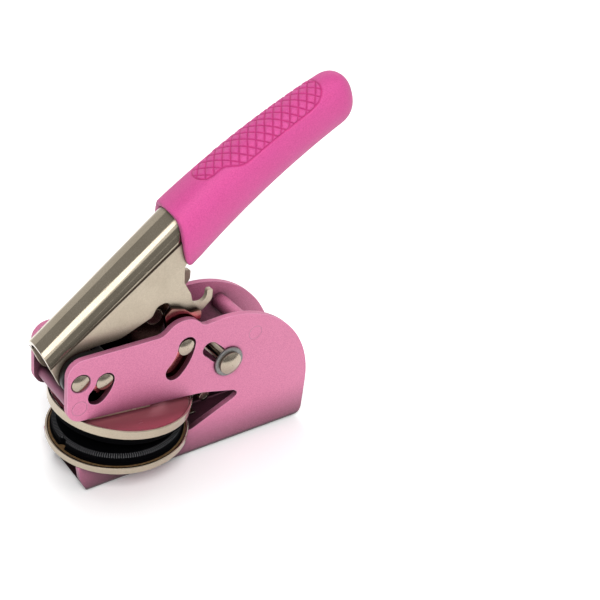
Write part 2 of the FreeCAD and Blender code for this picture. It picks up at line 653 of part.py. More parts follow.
def bulb_outline():
    """Side view that trims the folded back: slanted front, lapped onto the plates."""
    high = BULB_TOP + LEVER_SHEET
    return [
        (*lever_point(BULB_FRONT_LOW, crease(BULB_FRONT_LOW) - BULB_LAP), 0.0),
        (*lever_point(BULB_END, crease(BULB_END) - BULB_LAP), 0.0),
        (*lever_point(BULB_END, high), 0.0),
        (*lever_point(BULB_FRONT_HIGH, high), 0.0),
    ]


def bulb_solid(radius):
    """Long round-topped bar along the lever, as wide as twice the radius."""
    centre = BULB_TOP - BULB_RADIUS
    foot = CREASE_FRONT - CREASE_SLOPE * BULB_END - 2 * BULB_LAP

    def place(across, above):
        x, z = lever_point(-BULB_TOP, above)
        return Vector(x, across, z)

    edges = [
        Part.LineSegment(place(-radius, foot), place(-radius, centre)).toShape(),
        Part.Arc(place(-radius, centre), place(0, centre + radius), place(radius, centre)).toShape(),
        Part.LineSegment(place(radius, centre), place(radius, foot)).toShape(),
        Part.LineSegment(place(radius, foot), place(-radius, foot)).toShape(),
    ]
    start = lever_point(-BULB_TOP, 0.0)
    end = lever_point(BULB_END + BULB_TOP, 0.0)
    return Part.Face(Part.Wire(edges)).extrude(Vector(end[0] - start[0], 0, end[1] - start[1]))


def lever_bulb():
    """The folded back of the lever, a hollow half-round trough."""
    trough = bulb_solid(BULB_RADIUS).cut(bulb_solid(BULB_RADIUS - LEVER_SHEET))
    return trough.common(plate(bulb_outline(), -FRAME_WIDTH, FRAME_WIDTH))


def front_tube_relief():
    """Hollow in the crank arm that clears the frame's front tube when the lever is pressed."""
    reach = math.hypot(FRONT_SPACER_X - PIVOT_X, FRONT_SPACER_Z - PIVOT_Z)
    angle = math.degrees(math.atan2(FRONT_SPACER_Z - PIVOT_Z, FRONT_SPACER_X - PIVOT_X))
    return arc_slot((PIVOT_X, PIVOT_Z), reach, angle + LEVER_TRAVEL, angle,
                    SPACER_RADIUS + FRONT_TUBE_GAP)


def tang_bridge():
    """Cross web that ties the tang to the side plates and the bulb."""
    inner = LEVER_HALF_WIDTH - LEVER_SHEET
    low = TANG_TOP - TANG_HEIGHT
    return plate([
        (*lever_point(TANG_START, low), 0.0), (*lever_point(TANG_START, TANG_TOP), 0.0),
        (*lever_point(TANG_START + LEVER_SHEET, TANG_TOP), 0.0),
        (*lever_point(TANG_START + LEVER_SHEET, low), 0.0),
    ], -inner - BULB_INSET, inner + BULB_INSET)


def lever():
    """Folded lever: bulb, two plates with lugs and hooks, and the tang inside the grip."""
    inner = LEVER_HALF_WIDTH - LEVER_SHEET
    side = fused([
        plate(lever_plate_outline(), inner, LEVER_HALF_WIDTH),
        link((PIVOT_X, PIVOT_Z), PIVOT_LUG_RADIUS, (CRANK_X, CRANK_Z), CRANK_LUG_RADIUS,
             inner, LEVER_HALF_WIDTH),
    ])
    body = fused([lever_bulb(), side, mirrored(side), tang_bridge(), tang()])
    return body.cut([
        front_tube_relief(),
        rod(PIVOT_X, PIVOT_Z, PIVOT_PIN_RADIUS + RUNNING_FIT, -FRAME_WIDTH, FRAME_WIDTH),
        rod(CRANK_X, CRANK_Z, CRANK_PIN_RADIUS + RUNNING_FIT, -FRAME_WIDTH, FRAME_WIDTH),
    ])


def grip_section(along):
    """Closed oval curve of the grip at a place along the lever, square to its curving axis."""
    past = max(0.0, along - GRIP_STRAIGHT)
    axis = GRIP_AXIS - past ** 2 / (2 * GRIP_CURVE_RADIUS)
    slope = math.radians(LEVER_ANGLE) - past / GRIP_CURVE_RADIUS
    nose = max(0.0, along - (GRIP_END - GRIP_NOSE)) / GRIP_NOSE
    share = (1 - nose ** GRIP_SQUARENESS) ** (1 / GRIP_SQUARENESS)
    half_height = (GRIP_HALF_HEIGHT - GRIP_HEIGHT_TAPER * past) * share
    half_width = (GRIP_HALF_WIDTH - GRIP_WIDTH_TAPER * past) * share
    x, z = lever_point(along, axis)
    power = 2 / GRIP_SQUARENESS
    points = []
    for i in range(16):
        angle = 2 * math.pi * i / 16
        across = math.copysign(abs(math.cos(angle)) ** power, math.cos(angle)) * half_width
        up = math.copysign(abs(math.sin(angle)) ** power, math.sin(angle)) * half_height
        points.append(Vector(x - up * math.sin(slope), across, z + up * math.cos(slope)))
    curve = Part.BSplineCurve()
    curve.interpolate(Points=points, PeriodicFlag=True)
    return Part.Wire([curve.toShape()])


def grip_mouth_cutter():
    """What lies ahead of the grip's swooping mouth."""
    ahead = GRIP_START - GRIP_NOSE
    over = 2 * GRIP_HALF_HEIGHT
    return plate([
        (*lever_point(ahead, over), 0.0),
        (*lever_point(MOUTH_TOP, over), 0.0),
        (*lever_point(MOUTH_TOP, MOUTH_SHOULDER), MOUTH_SHOULDER_RADIUS),
        (*lever_point(MOUTH_WAIST, MOUTH_WAIST_ABOVE), MOUTH_WAIST_RADIUS),
        (*lever_point(MOUTH_LIP, MOUTH_LIP_ABOVE), MOUTH_LIP_RADIUS),
        (*lever_point(MOUTH_CHIN, MOUTH_CHIN_ABOVE), MOUTH_CHIN_RADIUS),
        (*lever_point(MOUTH_FOOT, MOUTH_FOOT_ABOVE), 0.0),
        (*lever_point(ahead, MOUTH_FOOT_ABOVE), 0.0),
    ], -FRAME_WIDTH, FRAME_WIDTH)


def tang_outline(fit):
    """Side view of the tang, grown by a fit on every side."""
    top = lambda along: TANG_TOP - TANG_FALL * (along - TANG_START)
    end = TANG_END + fit
    return [
        (*lever_point(TANG_START, top(TANG_START) + fit), 0.0),
        (*lever_point(end, top(end) + fit), 0.0),
        (*lever_point(end, top(end) - TANG_HEIGHT - fit), 0.0),
        (*lever_point(TANG_START, top(TANG_START) - TANG_HEIGHT - fit), 0.0),
    ]


def tang():
    """Narrow channel that carries the grip: a web under its top and two flanges."""
    whole = plate(tang_outline(0.0), -TANG_HALF_WIDTH, TANG_HALF_WIDTH)
    inner = TANG_HALF_WIDTH - LEVER_SHEET
    hollow = plate(tang_outline(0.0), -inner, inner)
    hollow.translate(Vector(LEVER_SHEET * math.sin(math.radians(LEVER_ANGLE)), 0,
                            -LEVER_SHEET * math.cos(math.radians(LEVER_ANGLE))))
    return whole.cut(hollow)


def grip():
    """Soft sleeve over the lever's end and its tang."""
    nose = GRIP_END - GRIP_NOSE
    stations = [GRIP_START + (nose - GRIP_START) * share
                for share in (0.0, 0.11, 0.21, 0.37, 0.53, 0.68, 0.84, 0.94, 1.0)]
    stations += [nose + GRIP_NOSE * share for share in (0.3, 0.55, 0.75, 0.88, 0.96, 0.995)]
    outer = Part.makeLoft([grip_section(s) for s in stations], True, False)
    half = LEVER_HALF_WIDTH + GRIP_FIT
    end = BULB_END + GRIP_FIT
    start = GRIP_START - LEVER_SHEET
    cavity = fused([
        plate([
            (*lever_point(start, CREASE_FRONT), 0.0),
            (*lever_point(end, CREASE_FRONT), 0.0),
            (*lever_point(end, PLATE_END_FOOT - GRIP_FIT), 0.0),
            (*lever_point(PLATE_FOOT_ALONG, PLATE_FOOT - GRIP_FIT), 0.0),
            (*lever_point(start, PLATE_FOOT - GRIP_FIT), 0.0),
        ], -half, half),
        bulb_solid(BULB_RADIUS + GRIP_FIT).common(plate([
            (*lever_point(start, 0.0), 0.0), (*lever_point(end, 0.0), 0.0),
            (*lever_point(end, 2 * BULB_TOP), 0.0), (*lever_point(start, 2 * BULB_TOP), 0.0),
        ], -half, half)),
        plate(tang_outline(GRIP_FIT), -TANG_HALF_WIDTH - GRIP_FIT, TANG_HALF_WIDTH + GRIP_FIT),
    ])
    return outer.cut([cavity, grip_mouth_cutter()])


# ---- ram and press foot ----
def ram_yoke():
    """Two side plates around the crank, guide and foot pins, joined by a bridge.

    Above each guide pin the plate rises to a head beside the lever, and below it a tail keeps the
    frame's guide slot closed from inside.
    """
    crank, guide, foot = (CRANK_X, CRANK_Z), (GUIDE_X, GUIDE_Z), (FOOT_PIN_X, FOOT_PIN_Z)
    tail = (GUIDE_X + TAIL_BEHIND, GUIDE_Z - TAIL_BELOW)
    y_from, y_to = RAM_INNER_Y, RAM_INNER_Y + RAM_SHEET
    middle = plate([(*crank, 0.0), (*guide, 0.0), (*tail, 0.0), (*foot, 0.0)], y_from, y_to)
    head = plate([
        (guide[0] - GUIDE_EYE_RADIUS, guide[1], 0.0),
        (guide[0] - HEAD_FRONT, guide[1] + HEAD_FRONT_RISE, HEAD_CORNER_RADIUS),
        (guide[0] - HEAD_PEAK, guide[1] + HEAD_PEAK_RISE, HEAD_CORNER_RADIUS),
        (guide[0], guide[1] + HEAD_SHOULDER_RISE, HEAD_CORNER_RADIUS),
        (guide[0] + HEAD_DIP, guide[1] + HEAD_DIP_RISE, HEAD_CORNER_RADIUS),
        (guide[0] + HEAD_REAR, guide[1] + HEAD_REAR_RISE, HEAD_CORNER_RADIUS),
        (guide[0] + GUIDE_EYE_RADIUS, guide[1], 0.0),
    ], y_from, y_to)
    side = fused([
        link(crank, CRANK_EYE_RADIUS, guide, GUIDE_EYE_RADIUS, y_from, y_to),
        link(crank, CRANK_EYE_RADIUS, foot, FOOT_EYE_RADIUS, y_from, y_to),
        link(guide, GUIDE_EYE_RADIUS, tail, TAIL_RADIUS, y_from, y_to),
        link(tail, TAIL_RADIUS, foot, FOOT_EYE_RADIUS, y_from, y_to),
        middle, head,
    ])
    (ux, uz), _ = unit(foot, guide)
    low = (foot[0] + ux * BRIDGE_OFFSET, foot[1] + uz * BRIDGE_OFFSET)
    high = (low[0] + ux * BRIDGE_LENGTH, low[1] + uz * BRIDGE_LENGTH)
    bridge = plate([
        (*low, 0.0), (*high, 0.0),
        (high[0] - uz * RAM_SHEET, high[1] + ux * RAM_SHEET, 0.0),
        (low[0] - uz * RAM_SHEET, low[1] + ux * RAM_SHEET, 0.0),
    ], -RAM_INNER_Y, RAM_INNER_Y)
    body = fused([side, mirrored(side), bridge])
    reach = FRAME_WIDTH
    return body.cut([
        rod(*crank, CRANK_PIN_RADIUS + RUNNING_FIT, -reach, reach),
        rod(*guide, GUIDE_PIN_RADIUS + RUNNING_FIT, -reach, reach),
        rod(*foot, FOOT_PIN_RADIUS + RUNNING_FIT, -reach, reach),
    ])


def guide_pins():
    """Two stub pins on the ram's sides that run in the frame's guide slots."""
    whole = domed_rod(GUIDE_X, GUIDE_Z, GUIDE_PIN_RADIUS, PIN_END_Y, PIN_DOME)
    reach = FRAME_HALF
    keep = Part.makeBox(2 * reach, reach, 2 * reach,
                        Vector(GUIDE_X - reach, RAM_INNER_Y, GUIDE_Z - reach))
    return pair(whole.common(keep))


def press_foot():
    """Swivelling bar that bears on the upper pan, with two ears for its pin."""
    bottom = FOOT_PIN_Z - FOOT_HEIGHT
    front, rear = FOOT_PIN_X - FOOT_FRONT, FOOT_PIN_X + FOOT_REAR
    base = Part.Face(outline([
        (front, -FOOT_HALF_WIDTH, FOOT_CORNER_RADIUS), (rear, -FOOT_HALF_WIDTH, FOOT_CORNER_RADIUS),
        (rear, FOOT_HALF_WIDTH, FOOT_CORNER_RADIUS), (front, FOOT_HALF_WIDTH, FOOT_CORNER_RADIUS),
    ], level_plane(bottom))).extrude(Vector(0, 0, FOOT_THICKNESS))
    outer = RAM_INNER_Y - SIDE_PLAY
    top = bottom + FOOT_THICKNESS
    ear = fused([
        rod(FOOT_PIN_X, FOOT_PIN_Z, FOOT_EAR_RADIUS, outer - FOOT_EAR_SHEET, outer),
        plate([(FOOT_PIN_X - FOOT_EAR_HALF_BASE, top - FOOT_EAR_LAP, 0.0),
               (FOOT_PIN_X + FOOT_EAR_HALF_BASE, top - FOOT_EAR_LAP, 0.0),
               (FOOT_PIN_X + FOOT_EAR_HALF_NECK, FOOT_PIN_Z + FOOT_EAR_NECK, 0.0),
               (FOOT_PIN_X - FOOT_EAR_HALF_NECK, FOOT_PIN_Z + FOOT_EAR_NECK, 0.0)],
              outer - FOOT_EAR_SHEET, outer),
    ])
    body = fused([base, ear, mirrored(ear)])
    body = body.cut(rod(FOOT_PIN_X, FOOT_PIN_Z, FOOT_PIN_RADIUS + RUNNING_FIT,
                        -FRAME_WIDTH, FRAME_WIDTH))
    body.rotate(Vector(FOOT_PIN_X, 0, FOOT_PIN_Z), Vector(0, 1, 0), PAN_OPEN_ANGLE)
    return body


# ---- die set ----
def pan(bottom, height):
    """Shallow round pan with its rim up."""
    cup = Part.makeCylinder(PAN_RADIUS, height, Vector(0, 0, bottom))
    cup = cup.cut(Part.makeCylinder(PAN_RADIUS - PAN_WALL, height, Vector(0, 0, bottom + PAN_SHEET)))
    rim = [e for e in cup.Edges if abs(e.BoundBox.ZMin - (bottom + height)) < 1e-6]
    foot = [e for e in cup.Edges if abs(e.BoundBox.ZMax - bottom) < 1e-6]
    return cup.makeFillet(PAN_EDGE_RADIUS, rim + foot)


def tongue(start, end, half_width):
    """Flat strip from the pan's rim to the clip barrel, in side view from start to end."""
    (ux, uz), _ = unit(start, end)
    return plate([
        (*start, 0.0), (*end, 0.0),
        (end[0] - uz * PAN_SHEET, end[1] + ux * PAN_SHEET, 0.0),
        (start[0] - uz * PAN_SHEET, start[1] + ux * PAN_SHEET, 0.0),
    ], -half_width, half_width)


def barrel(y_from, y_to):
    """Rolled eye of the clip."""
    return rod(CLIP_X, CLIP_Z, CLIP_BARREL_RADIUS, y_from, y_to)


def barrel_bore():
    """Hole for the clip pin through all knuckles."""
    return rod(CLIP_X, CLIP_Z, CLIP_PIN_RADIUS + RUNNING_FIT, -FRAME_WIDTH, FRAME_WIDTH)


def lower_pan():
    """Lower die pan with a tongue rolled into the clip's middle knuckle."""
    rim_x = PAN_RADIUS - PAN_WALL / 2
    level = SEAT_Z + LOWER_PAN_HEIGHT - PAN_SHEET - LOWER_TONGUE_BELOW
    wide_end = CLIP_X - LOWER_TONGUE_SHORT
    wide = tongue((rim_x, level), (wide_end, level), CLIP_HALF_WIDTH)
    ramp = tongue((wide_end - RAMP_LAP, level), (CLIP_X + RAMP_END_BEHIND, CLIP_Z - RAMP_END_BELOW),
                  CLIP_CENTRE_KNUCKLE)
    knuckle = barrel(-CLIP_CENTRE_KNUCKLE, CLIP_CENTRE_KNUCKLE)
    body = fused([pan(SEAT_Z, LOWER_PAN_HEIGHT), wide, ramp, knuckle])
    return body.cut(barrel_bore())


def upper_pan():
    """Upper die pan with a forked tongue rolled into the clip's outer knuckles."""
    rim_x = PAN_RADIUS - PAN_WALL / 2
    level = UPPER_PAN_Z + UPPER_TONGUE_ABOVE
    strip = tongue((rim_x, level),
                   (CLIP_X + UPPER_TONGUE_BEHIND, CLIP_Z + CLIP_BARREL_RADIUS - PAN_SHEET),
                   CLIP_HALF_WIDTH)
    gap = Part.makeBox(PAN_RADIUS, 2 * CLIP_SIDE_KNUCKLE, PAN_RADIUS,
                       Vector(CLIP_X - FORK_DEPTH, -CLIP_SIDE_KNUCKLE, CLIP_Z - PAN_RADIUS / 2))
    knuckle = barrel(CLIP_SIDE_KNUCKLE, CLIP_HALF_WIDTH)
    body = fused([pan(UPPER_PAN_Z, UPPER_PAN_HEIGHT), strip.cut(gap), knuckle, mirrored(knuckle)])
    return tilt_open(body.cut(barrel_bore()))


def clip_pin():
    """Hinge pin of the die set."""
    return rod(CLIP_X, CLIP_Z, CLIP_PIN_RADIUS, -CLIP_HALF_WIDTH, CLIP_HALF_WIDTH)


def coil(x, z, coil_radius, wire_radius, pitch, turns, y_from):
    """Round wire wound about an axis along Y, from y_from on."""
    helix = Part.makeHelix(pitch, pitch * turns, coil_radius)
    start = helix.Edges[0].Vertexes[0].Point
    circle = Part.Wire([Part.Circle(start, Vector(0, 1, pitch / (2 * math.pi * coil_radius)),
                                    wire_radius).toShape()])
    wound = Part.Wire(helix.Edges).makePipeShell([circle], True, True)
    wound.rotate(Vector(0, 0, 0), Vector(1, 0, 0), -90)
    wound.translate(Vector(x, y_from, z))
    return wound


def clip_springs():
    """Two small coils on the clip pin that lift the upper pan."""
    free = CLIP_SIDE_KNUCKLE - CLIP_CENTRE_KNUCKLE
    pitch = 2 * CLIP_WIRE_RADIUS + CLIP_PITCH_GAP
    turns = math.floor((free - 2 * CLIP_WIRE_RADIUS - 2 * CLIP_COIL_GAP) / pitch * 2) / 2
    wound = coil(CLIP_X, CLIP_Z, CLIP_PIN_RADIUS + CLIP_COIL_FIT + CLIP_WIRE_RADIUS,
                 CLIP_WIRE_RADIUS, pitch, turns,
                 CLIP_CENTRE_KNUCKLE + CLIP_WIRE_RADIUS + CLIP_COIL_GAP)
    return pair(wound)


def disc(radius, bottom, thickness, edge=0.0):
    """Flat round disc on the die axis, with its top edge broken."""
    body = Part.makeCylinder(radius, thickness, Vector(0, 0, bottom))
    if edge > 0:
        rims = [e for e in body.Edges if e.BoundBox.ZLength < 1e-6]
        body = body.makeChamfer(edge, rims)
    return body


def fibre_disc():
    """Fibre packing under the lower die."""
    return disc(PAN_RADIUS - PAN_WALL - FIBRE_GAP, LOWER_PAN_FLOOR_Z, FIBRE_THICKNESS)


def lower_die():
    """Engraved die with a thin flange, notched so that it goes in one way round."""
    body = fused([disc(DIE_RADIUS, LOWER_DIE_Z, LOWER_DIE_THICKNESS, DIE_EDGE),
                  disc(DIE_FLANGE_RADIUS, LOWER_DIE_Z, DIE_FLANGE_HEIGHT)])
    angle = math.radians(DIE_NOTCH_ANGLE)
    notch = Part.makeCylinder(DIE_NOTCH_SIZE, LOWER_DIE_THICKNESS * 3,
                              Vector(DIE_FLANGE_RADIUS * math.cos(angle),
                                     DIE_FLANGE_RADIUS * math.sin(angle), SEAT_Z))
    return body.cut(notch)


def counter_die():
    """Counter die glued under the upper pan."""
    return tilt_open(disc(DIE_RADIUS, COUNTER_DIE_Z, COUNTER_DIE_THICKNESS, DIE_EDGE))


# ---- pivot details ----
def pivot_sleeves():
    """Short tubes on the pivot pin between the lever and the frame, inside the springs."""
    y_from, y_to = LEVER_HALF_WIDTH + SIDE_PLAY, FRAME_INNER - SIDE_PLAY
    tube = rod(PIVOT_X, PIVOT_Z, SLEEVE_RADIUS, y_from, y_to)
    return pair(tube.cut(rod(PIVOT_X, PIVOT_Z, PIVOT_PIN_RADIUS + RUNNING_FIT, y_from, y_to)))


def return_springs():
    """Two open rings: each stands on the front tube and lifts the lever with a bent tab."""
    place = side_plane(SPRING_INNER_Y)
    foot = math.radians(SPRING_FOOT_ANGLE)
    inner = SPRING_RADIUS - SPRING_THICKNESS

    def on(radius, angle):
        return place(SPRING_X + radius * math.cos(angle), SPRING_Z + radius * math.sin(angle))

    top = math.pi / 2
    arm_outer = place(SPRING_ARM_X, SPRING_Z + SPRING_RADIUS)
    arm_inner = place(SPRING_ARM_X, SPRING_Z + inner)
    edges = [
        Part.Arc(on(SPRING_RADIUS, foot), on(SPRING_RADIUS, math.pi), on(SPRING_RADIUS, top)).toShape(),
        Part.LineSegment(on(SPRING_RADIUS, top), arm_outer).toShape(),
        Part.LineSegment(arm_outer, arm_inner).toShape(),
        Part.LineSegment(arm_inner, on(inner, top)).toShape(),
        Part.Arc(on(inner, top), on(inner, math.pi), on(inner, foot)).toShape(),
        Part.LineSegment(on(inner, foot), on(SPRING_RADIUS, foot)).toShape(),
    ]
    width = SPRING_OUTER_Y - SPRING_INNER_Y
    ring = Part.Face(Part.Wire(edges)).extrude(Vector(0, width, 0))
    reach = LEVER_HALF_WIDTH - LEVER_SHEET
    tab = Part.makeBox(SPRING_TAB, SPRING_OUTER_Y - reach, SPRING_THICKNESS,
                       Vector(SPRING_ARM_X - SPRING_TAB, reach, SPRING_Z + inner))
    return pair(fused([ring, tab]))


# ---- latch ----
def latch_pin():
    """Latch shaft with a domed head formed on one end."""
    face_y = FRAME_HALF + SIDE_PLAY + WASHER_THICKNESS
    shaft = rod(LATCH_X, LATCH_Z, LATCH_PIN_RADIUS, -face_y, face_y)
    return fused([shaft, mirrored(latch_head(face_y))])


def latch_head(face_y):
    """Domed head on the far side, on the washer."""
    whole = domed_rod(LATCH_X, LATCH_Z, LATCH_HEAD_RADIUS, face_y + LATCH_HEAD_HEIGHT,
                      LATCH_HEAD_DOME)
    reach = FRAME_HALF
    keep = Part.makeBox(2 * reach, reach, 2 * reach,
                        Vector(LATCH_X - reach, face_y, LATCH_Z - reach))
    return whole.common(keep)


def latch_washers():
    """Washers under both heads of the latch."""
    y_from = FRAME_HALF + SIDE_PLAY
    ring = rod(LATCH_X, LATCH_Z, WASHER_RADIUS, y_from, y_from + WASHER_THICKNESS)
    bore = rod(LATCH_X, LATCH_Z, LATCH_PIN_RADIUS + RUNNING_FIT, 0, FRAME_WIDTH)
    return pair(ring.cut(bore))


NODES = {
    "frame_channel": frame_channel,
    "front_spacer": lambda: spacer(FRONT_SPACER_X, FRONT_SPACER_Z),
    "rear_spacer": lambda: spacer(REAR_SPACER_X, REAR_SPACER_Z),
    "jaw_insert": jaw_insert,
    "pivot_pin": lambda: domed_rod(PIVOT_X, PIVOT_Z, PIVOT_PIN_RADIUS, PIN_END_Y, PIN_DOME),
    "pivot_sleeves": pivot_sleeves,
    "return_springs": return_springs,
    "lever": lever,
    "grip": grip,
    "crank_pin": lambda: domed_rod(CRANK_X, CRANK_Z, CRANK_PIN_RADIUS, PIN_END_Y, PIN_DOME),
    "ram_yoke": ram_yoke,
    "guide_pins": guide_pins,
    "foot_pin": lambda: rod(FOOT_PIN_X, FOOT_PIN_Z, FOOT_PIN_RADIUS,
                            -RAM_INNER_Y - RAM_SHEET, RAM_INNER_Y + RAM_SHEET),
    "press_foot": press_foot,
    "lower_pan": lower_pan,
    "fibre_disc": fibre_disc,
    "lower_die": lower_die,
    "clip_pin": clip_pin,
    "clip_springs": clip_springs,
    "upper_pan": upper_pan,
    "counter_die": counter_die,
    "latch_pin": latch_pin,
    "latch_cap": lambda: latch_head(FRAME_HALF + SIDE_PLAY + WASHER_THICKNESS),
    "latch_washers": latch_washers,
}


def main():
    """Writes one STEP file per node into parts/."""
    os.makedirs("parts", exist_ok=True)
    for name, build in NODES.items():
        shape = build()
        shape.exportStep("parts/" + name + ".step")
        print(name, "solids", len(shape.Solids), "valid", shape.isValid(), round(shape.Volume, 1))


main()
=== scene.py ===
"""Hand seal embosser: finishes and detailed pieces around its solid model.

A pink powder-coated channel frame carries a pair of round die pans. A folded nickel lever with a
soft pink grip turns on a pin at the front, drives a ram, and is held down by a sliding latch.
Sizes of pieces, finishes and floor cards are in millimetres. Those of the studio, of a finish's
`painted_shade_reach` and of the meshes are in metres. X runs to the rear, Z up.
"""

import logging
import math
from dataclasses import dataclass, field
from enum import Enum
from typing import Dict, List, Optional, Sequence, Tuple

import bpy
import numpy as np
from mathutils import Matrix, Vector

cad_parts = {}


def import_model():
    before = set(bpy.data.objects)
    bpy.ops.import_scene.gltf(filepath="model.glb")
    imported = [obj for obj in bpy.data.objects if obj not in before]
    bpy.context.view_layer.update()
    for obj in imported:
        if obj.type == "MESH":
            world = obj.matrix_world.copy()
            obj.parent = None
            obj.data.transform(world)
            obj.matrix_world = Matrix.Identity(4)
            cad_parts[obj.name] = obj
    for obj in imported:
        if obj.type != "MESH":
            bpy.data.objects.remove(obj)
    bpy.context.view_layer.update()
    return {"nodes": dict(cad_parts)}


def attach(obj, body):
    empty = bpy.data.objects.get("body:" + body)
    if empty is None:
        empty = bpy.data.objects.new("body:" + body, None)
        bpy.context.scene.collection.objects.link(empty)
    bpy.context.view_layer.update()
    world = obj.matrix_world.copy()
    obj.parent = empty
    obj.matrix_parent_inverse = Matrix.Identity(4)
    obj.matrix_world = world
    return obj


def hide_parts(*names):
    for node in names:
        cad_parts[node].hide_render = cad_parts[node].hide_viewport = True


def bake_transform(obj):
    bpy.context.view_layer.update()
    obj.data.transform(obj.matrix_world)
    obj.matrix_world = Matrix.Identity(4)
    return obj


MM = 0.001
LOG = logging.getLogger("seal_embosser")
Colour = Tuple[float, float, float, float]
Point = Tuple[float, float, float]
ACROSS_Y: Point = (1.0, 0.0, 1.0)
ACROSS_Z: Point = (1.0, 1.0, 0.0)


class Body(Enum):
    """The bodies that new pieces ride on."""

    FRAME = "frame"
    LEVER = "lever_body"
    FOOT = "foot"
    LATCH = "latch"


class Slot(Enum):
    """The finishes that an owner may swap."""

    PAINT = "paint"
    NICKEL = "nickel"
    GRIP = "grip"
    BLACK_STEEL = "black_steel"
    BLACK_PLASTIC = "black_plastic"
    FIBRE = "fibre"
    DIE = "die"
    WASHER_STEEL = "washer_steel"


# ---------------------------------------------------------------------------------------------
# Colours and meshes
# ---------------------------------------------------------------------------------------------
def linear(red: float, green: float, blue: float) -> Colour:
    """Turns screen colour values into the shader's linear ones.

    Args:
        red: Red from 0 to 255.
        green: Green from 0 to 255.
        blue: Blue from 0 to 255.

    Returns:
        The linear colour with full alpha.
    """
    shares = [value / 255.0 for value in (red, green, blue)]
    parts = [s / 12.92 if s <= 0.04045 else ((s + 0.055) / 1.055) ** 2.4 for s in shares]
    return (parts[0], parts[1], parts[2], 1.0)


def grid_quads(rows: int, columns: int, closed: bool = True) -> np.ndarray:
    """Quads between the points of a grid that is stored row after row.

    Args:
        rows: Number of rows.
        columns: Number of points in a row.
        closed: Whether the last point of a row joins the first.

    Returns:
        An array of four indices a quad.
    """
    row = np.arange(rows - 1)[:, None] * columns
    column = np.arange(columns if closed else columns - 1)[None, :]
    after = (column + 1) % columns
    quads = np.stack([row + column, row + after, row + columns + after, row + columns + column], -1)
    return quads.reshape(-1, 4)


def round_quads(rows: int, columns: int, closed: bool = True) -> np.ndarray:
    """Quads of a grid whose last row also joins the first.

    Args:
        rows: Number of rows.
        columns: Number of points in a row.
        closed: Whether the last point of a row joins the first.

    Returns:
        An array of four indices a quad.
    """
    seam = grid_quads(2, columns, closed)
    seam = np.where(seam < columns, seam + (rows - 1) * columns, seam - columns)
    return np.concatenate([grid_quads(rows, columns, closed), seam])


def fan(pole: int, ring: np.ndarray) -> np.ndarray:
    """Triangles from a pole to a closed ring, given as quads without a fourth corner.

    Args:
        pole: Index of the pole.
        ring: Indices of the ring's points in order.

    Returns:
        An array of four indices a triangle, the fourth being -1.
    """
    after = np.roll(ring, -1)
    return np.stack([np.full(len(ring), pole), ring, after, np.full(len(ring), -1)], -1)


def capped_tube(rings: np.ndarray, poles: np.ndarray) -> Tuple[np.ndarray, np.ndarray]:
    """Closes a stack of rings with a fan to a pole at each end.

    Args:
        rings: Points as (ring, point, axis).
        poles: The first and the last pole.

    Returns:
        Points and faces of the closed shell.
    """
    count, columns = rings.shape[:2]
    flat = rings.reshape(-1, 3)
    ring = np.arange(columns)
    faces = np.vstack([grid_quads(count, columns), fan(len(flat), ring[::-1]),
                       fan(len(flat) + 1, ring + (count - 1) * columns)])
    return np.vstack([flat, poles]), faces


def signed_volume(points: np.ndarray, faces: np.ndarray) -> float:
    """Six times the volume inside closed faces: the boxes that each triangle's corners span, added.

    Args:
        points: The corners' places.
        faces: Four indices a face, the fourth being -1 for a triangle.

    Returns:
        Six times the volume, negative where the faces point inwards.
    """
    a, b, c = points[faces[:, 0]], points[faces[:, 1]], points[faces[:, 2]]
    volume = np.einsum("ij,ij->i", a, np.cross(b, c)).sum()
    quads = faces[faces[:, 3] >= 0]
    a, c, d = points[quads[:, 0]], points[quads[:, 2]], points[quads[:, 3]]
    return float(volume + np.einsum("ij,ij->i", a, np.cross(c, d)).sum())


def build_object(name: str, shells: Sequence[Tuple[np.ndarray, np.ndarray]],
                 attributes: Optional[Dict[str, np.ndarray]] = None,
                 closed: bool = True) -> bpy.types.Object:
    """Makes one smooth object from shells of points and faces, each turned outwards.

    Args:
        name: Name of the object.
        shells: Pairs of points in millimetres and faces of four indices, -1 for a triangle.
        attributes: Values a point, by name, in the order of the shells' points.
        closed: Whether the shells are closed, so that their faces can be turned outwards.

    Returns:
        The object, linked into the scene at the origin.
    """
    all_points: List[np.ndarray] = []
    all_faces: List[np.ndarray] = []
    count = 0
    for points, faces in shells:
        if closed and signed_volume(points, faces) < 0:
            quad = faces[:, 3] >= 0
            turned = faces.copy()
            turned[quad] = faces[quad][:, ::-1]
            turned[~quad, :3] = faces[~quad][:, 2::-1]
            faces = turned
        all_points.append(points)
        all_faces.append(np.where(faces >= 0, faces + count, -1))
        count += len(points)
    points = np.concatenate(all_points) * MM
    faces = np.concatenate(all_faces)
    sizes = np.where(faces[:, 3] >= 0, 4, 3)
    corners = faces.reshape(-1)
    corners = corners[corners >= 0]
    mesh = bpy.data.meshes.new(name)
    mesh.vertices.add(len(points))
    mesh.vertices.foreach_set("co", points.astype(np.float32).ravel())
    mesh.loops.add(len(corners))
    mesh.loops.foreach_set("vertex_index", corners.astype(np.int32))
    mesh.polygons.add(len(faces))
    mesh.polygons.foreach_set("loop_start", np.r_[0, np.cumsum(sizes)[:-1]].astype(np.int32))
    mesh.polygons.foreach_set("loop_total", sizes.astype(np.int32))
    for key, values in (attributes or {}).items():
        layer = mesh.attributes.new(key, "FLOAT", "POINT")
        layer.data.foreach_set("value", values.astype(np.float32))
    mesh.update(calc_edges=True)
    mesh.validate()
    mesh.polygons.foreach_set("use_smooth", np.ones(len(mesh.polygons), dtype=bool))
    shape = bpy.data.objects.new(name, mesh)
    bpy.context.scene.collection.objects.link(shape)
    return shape


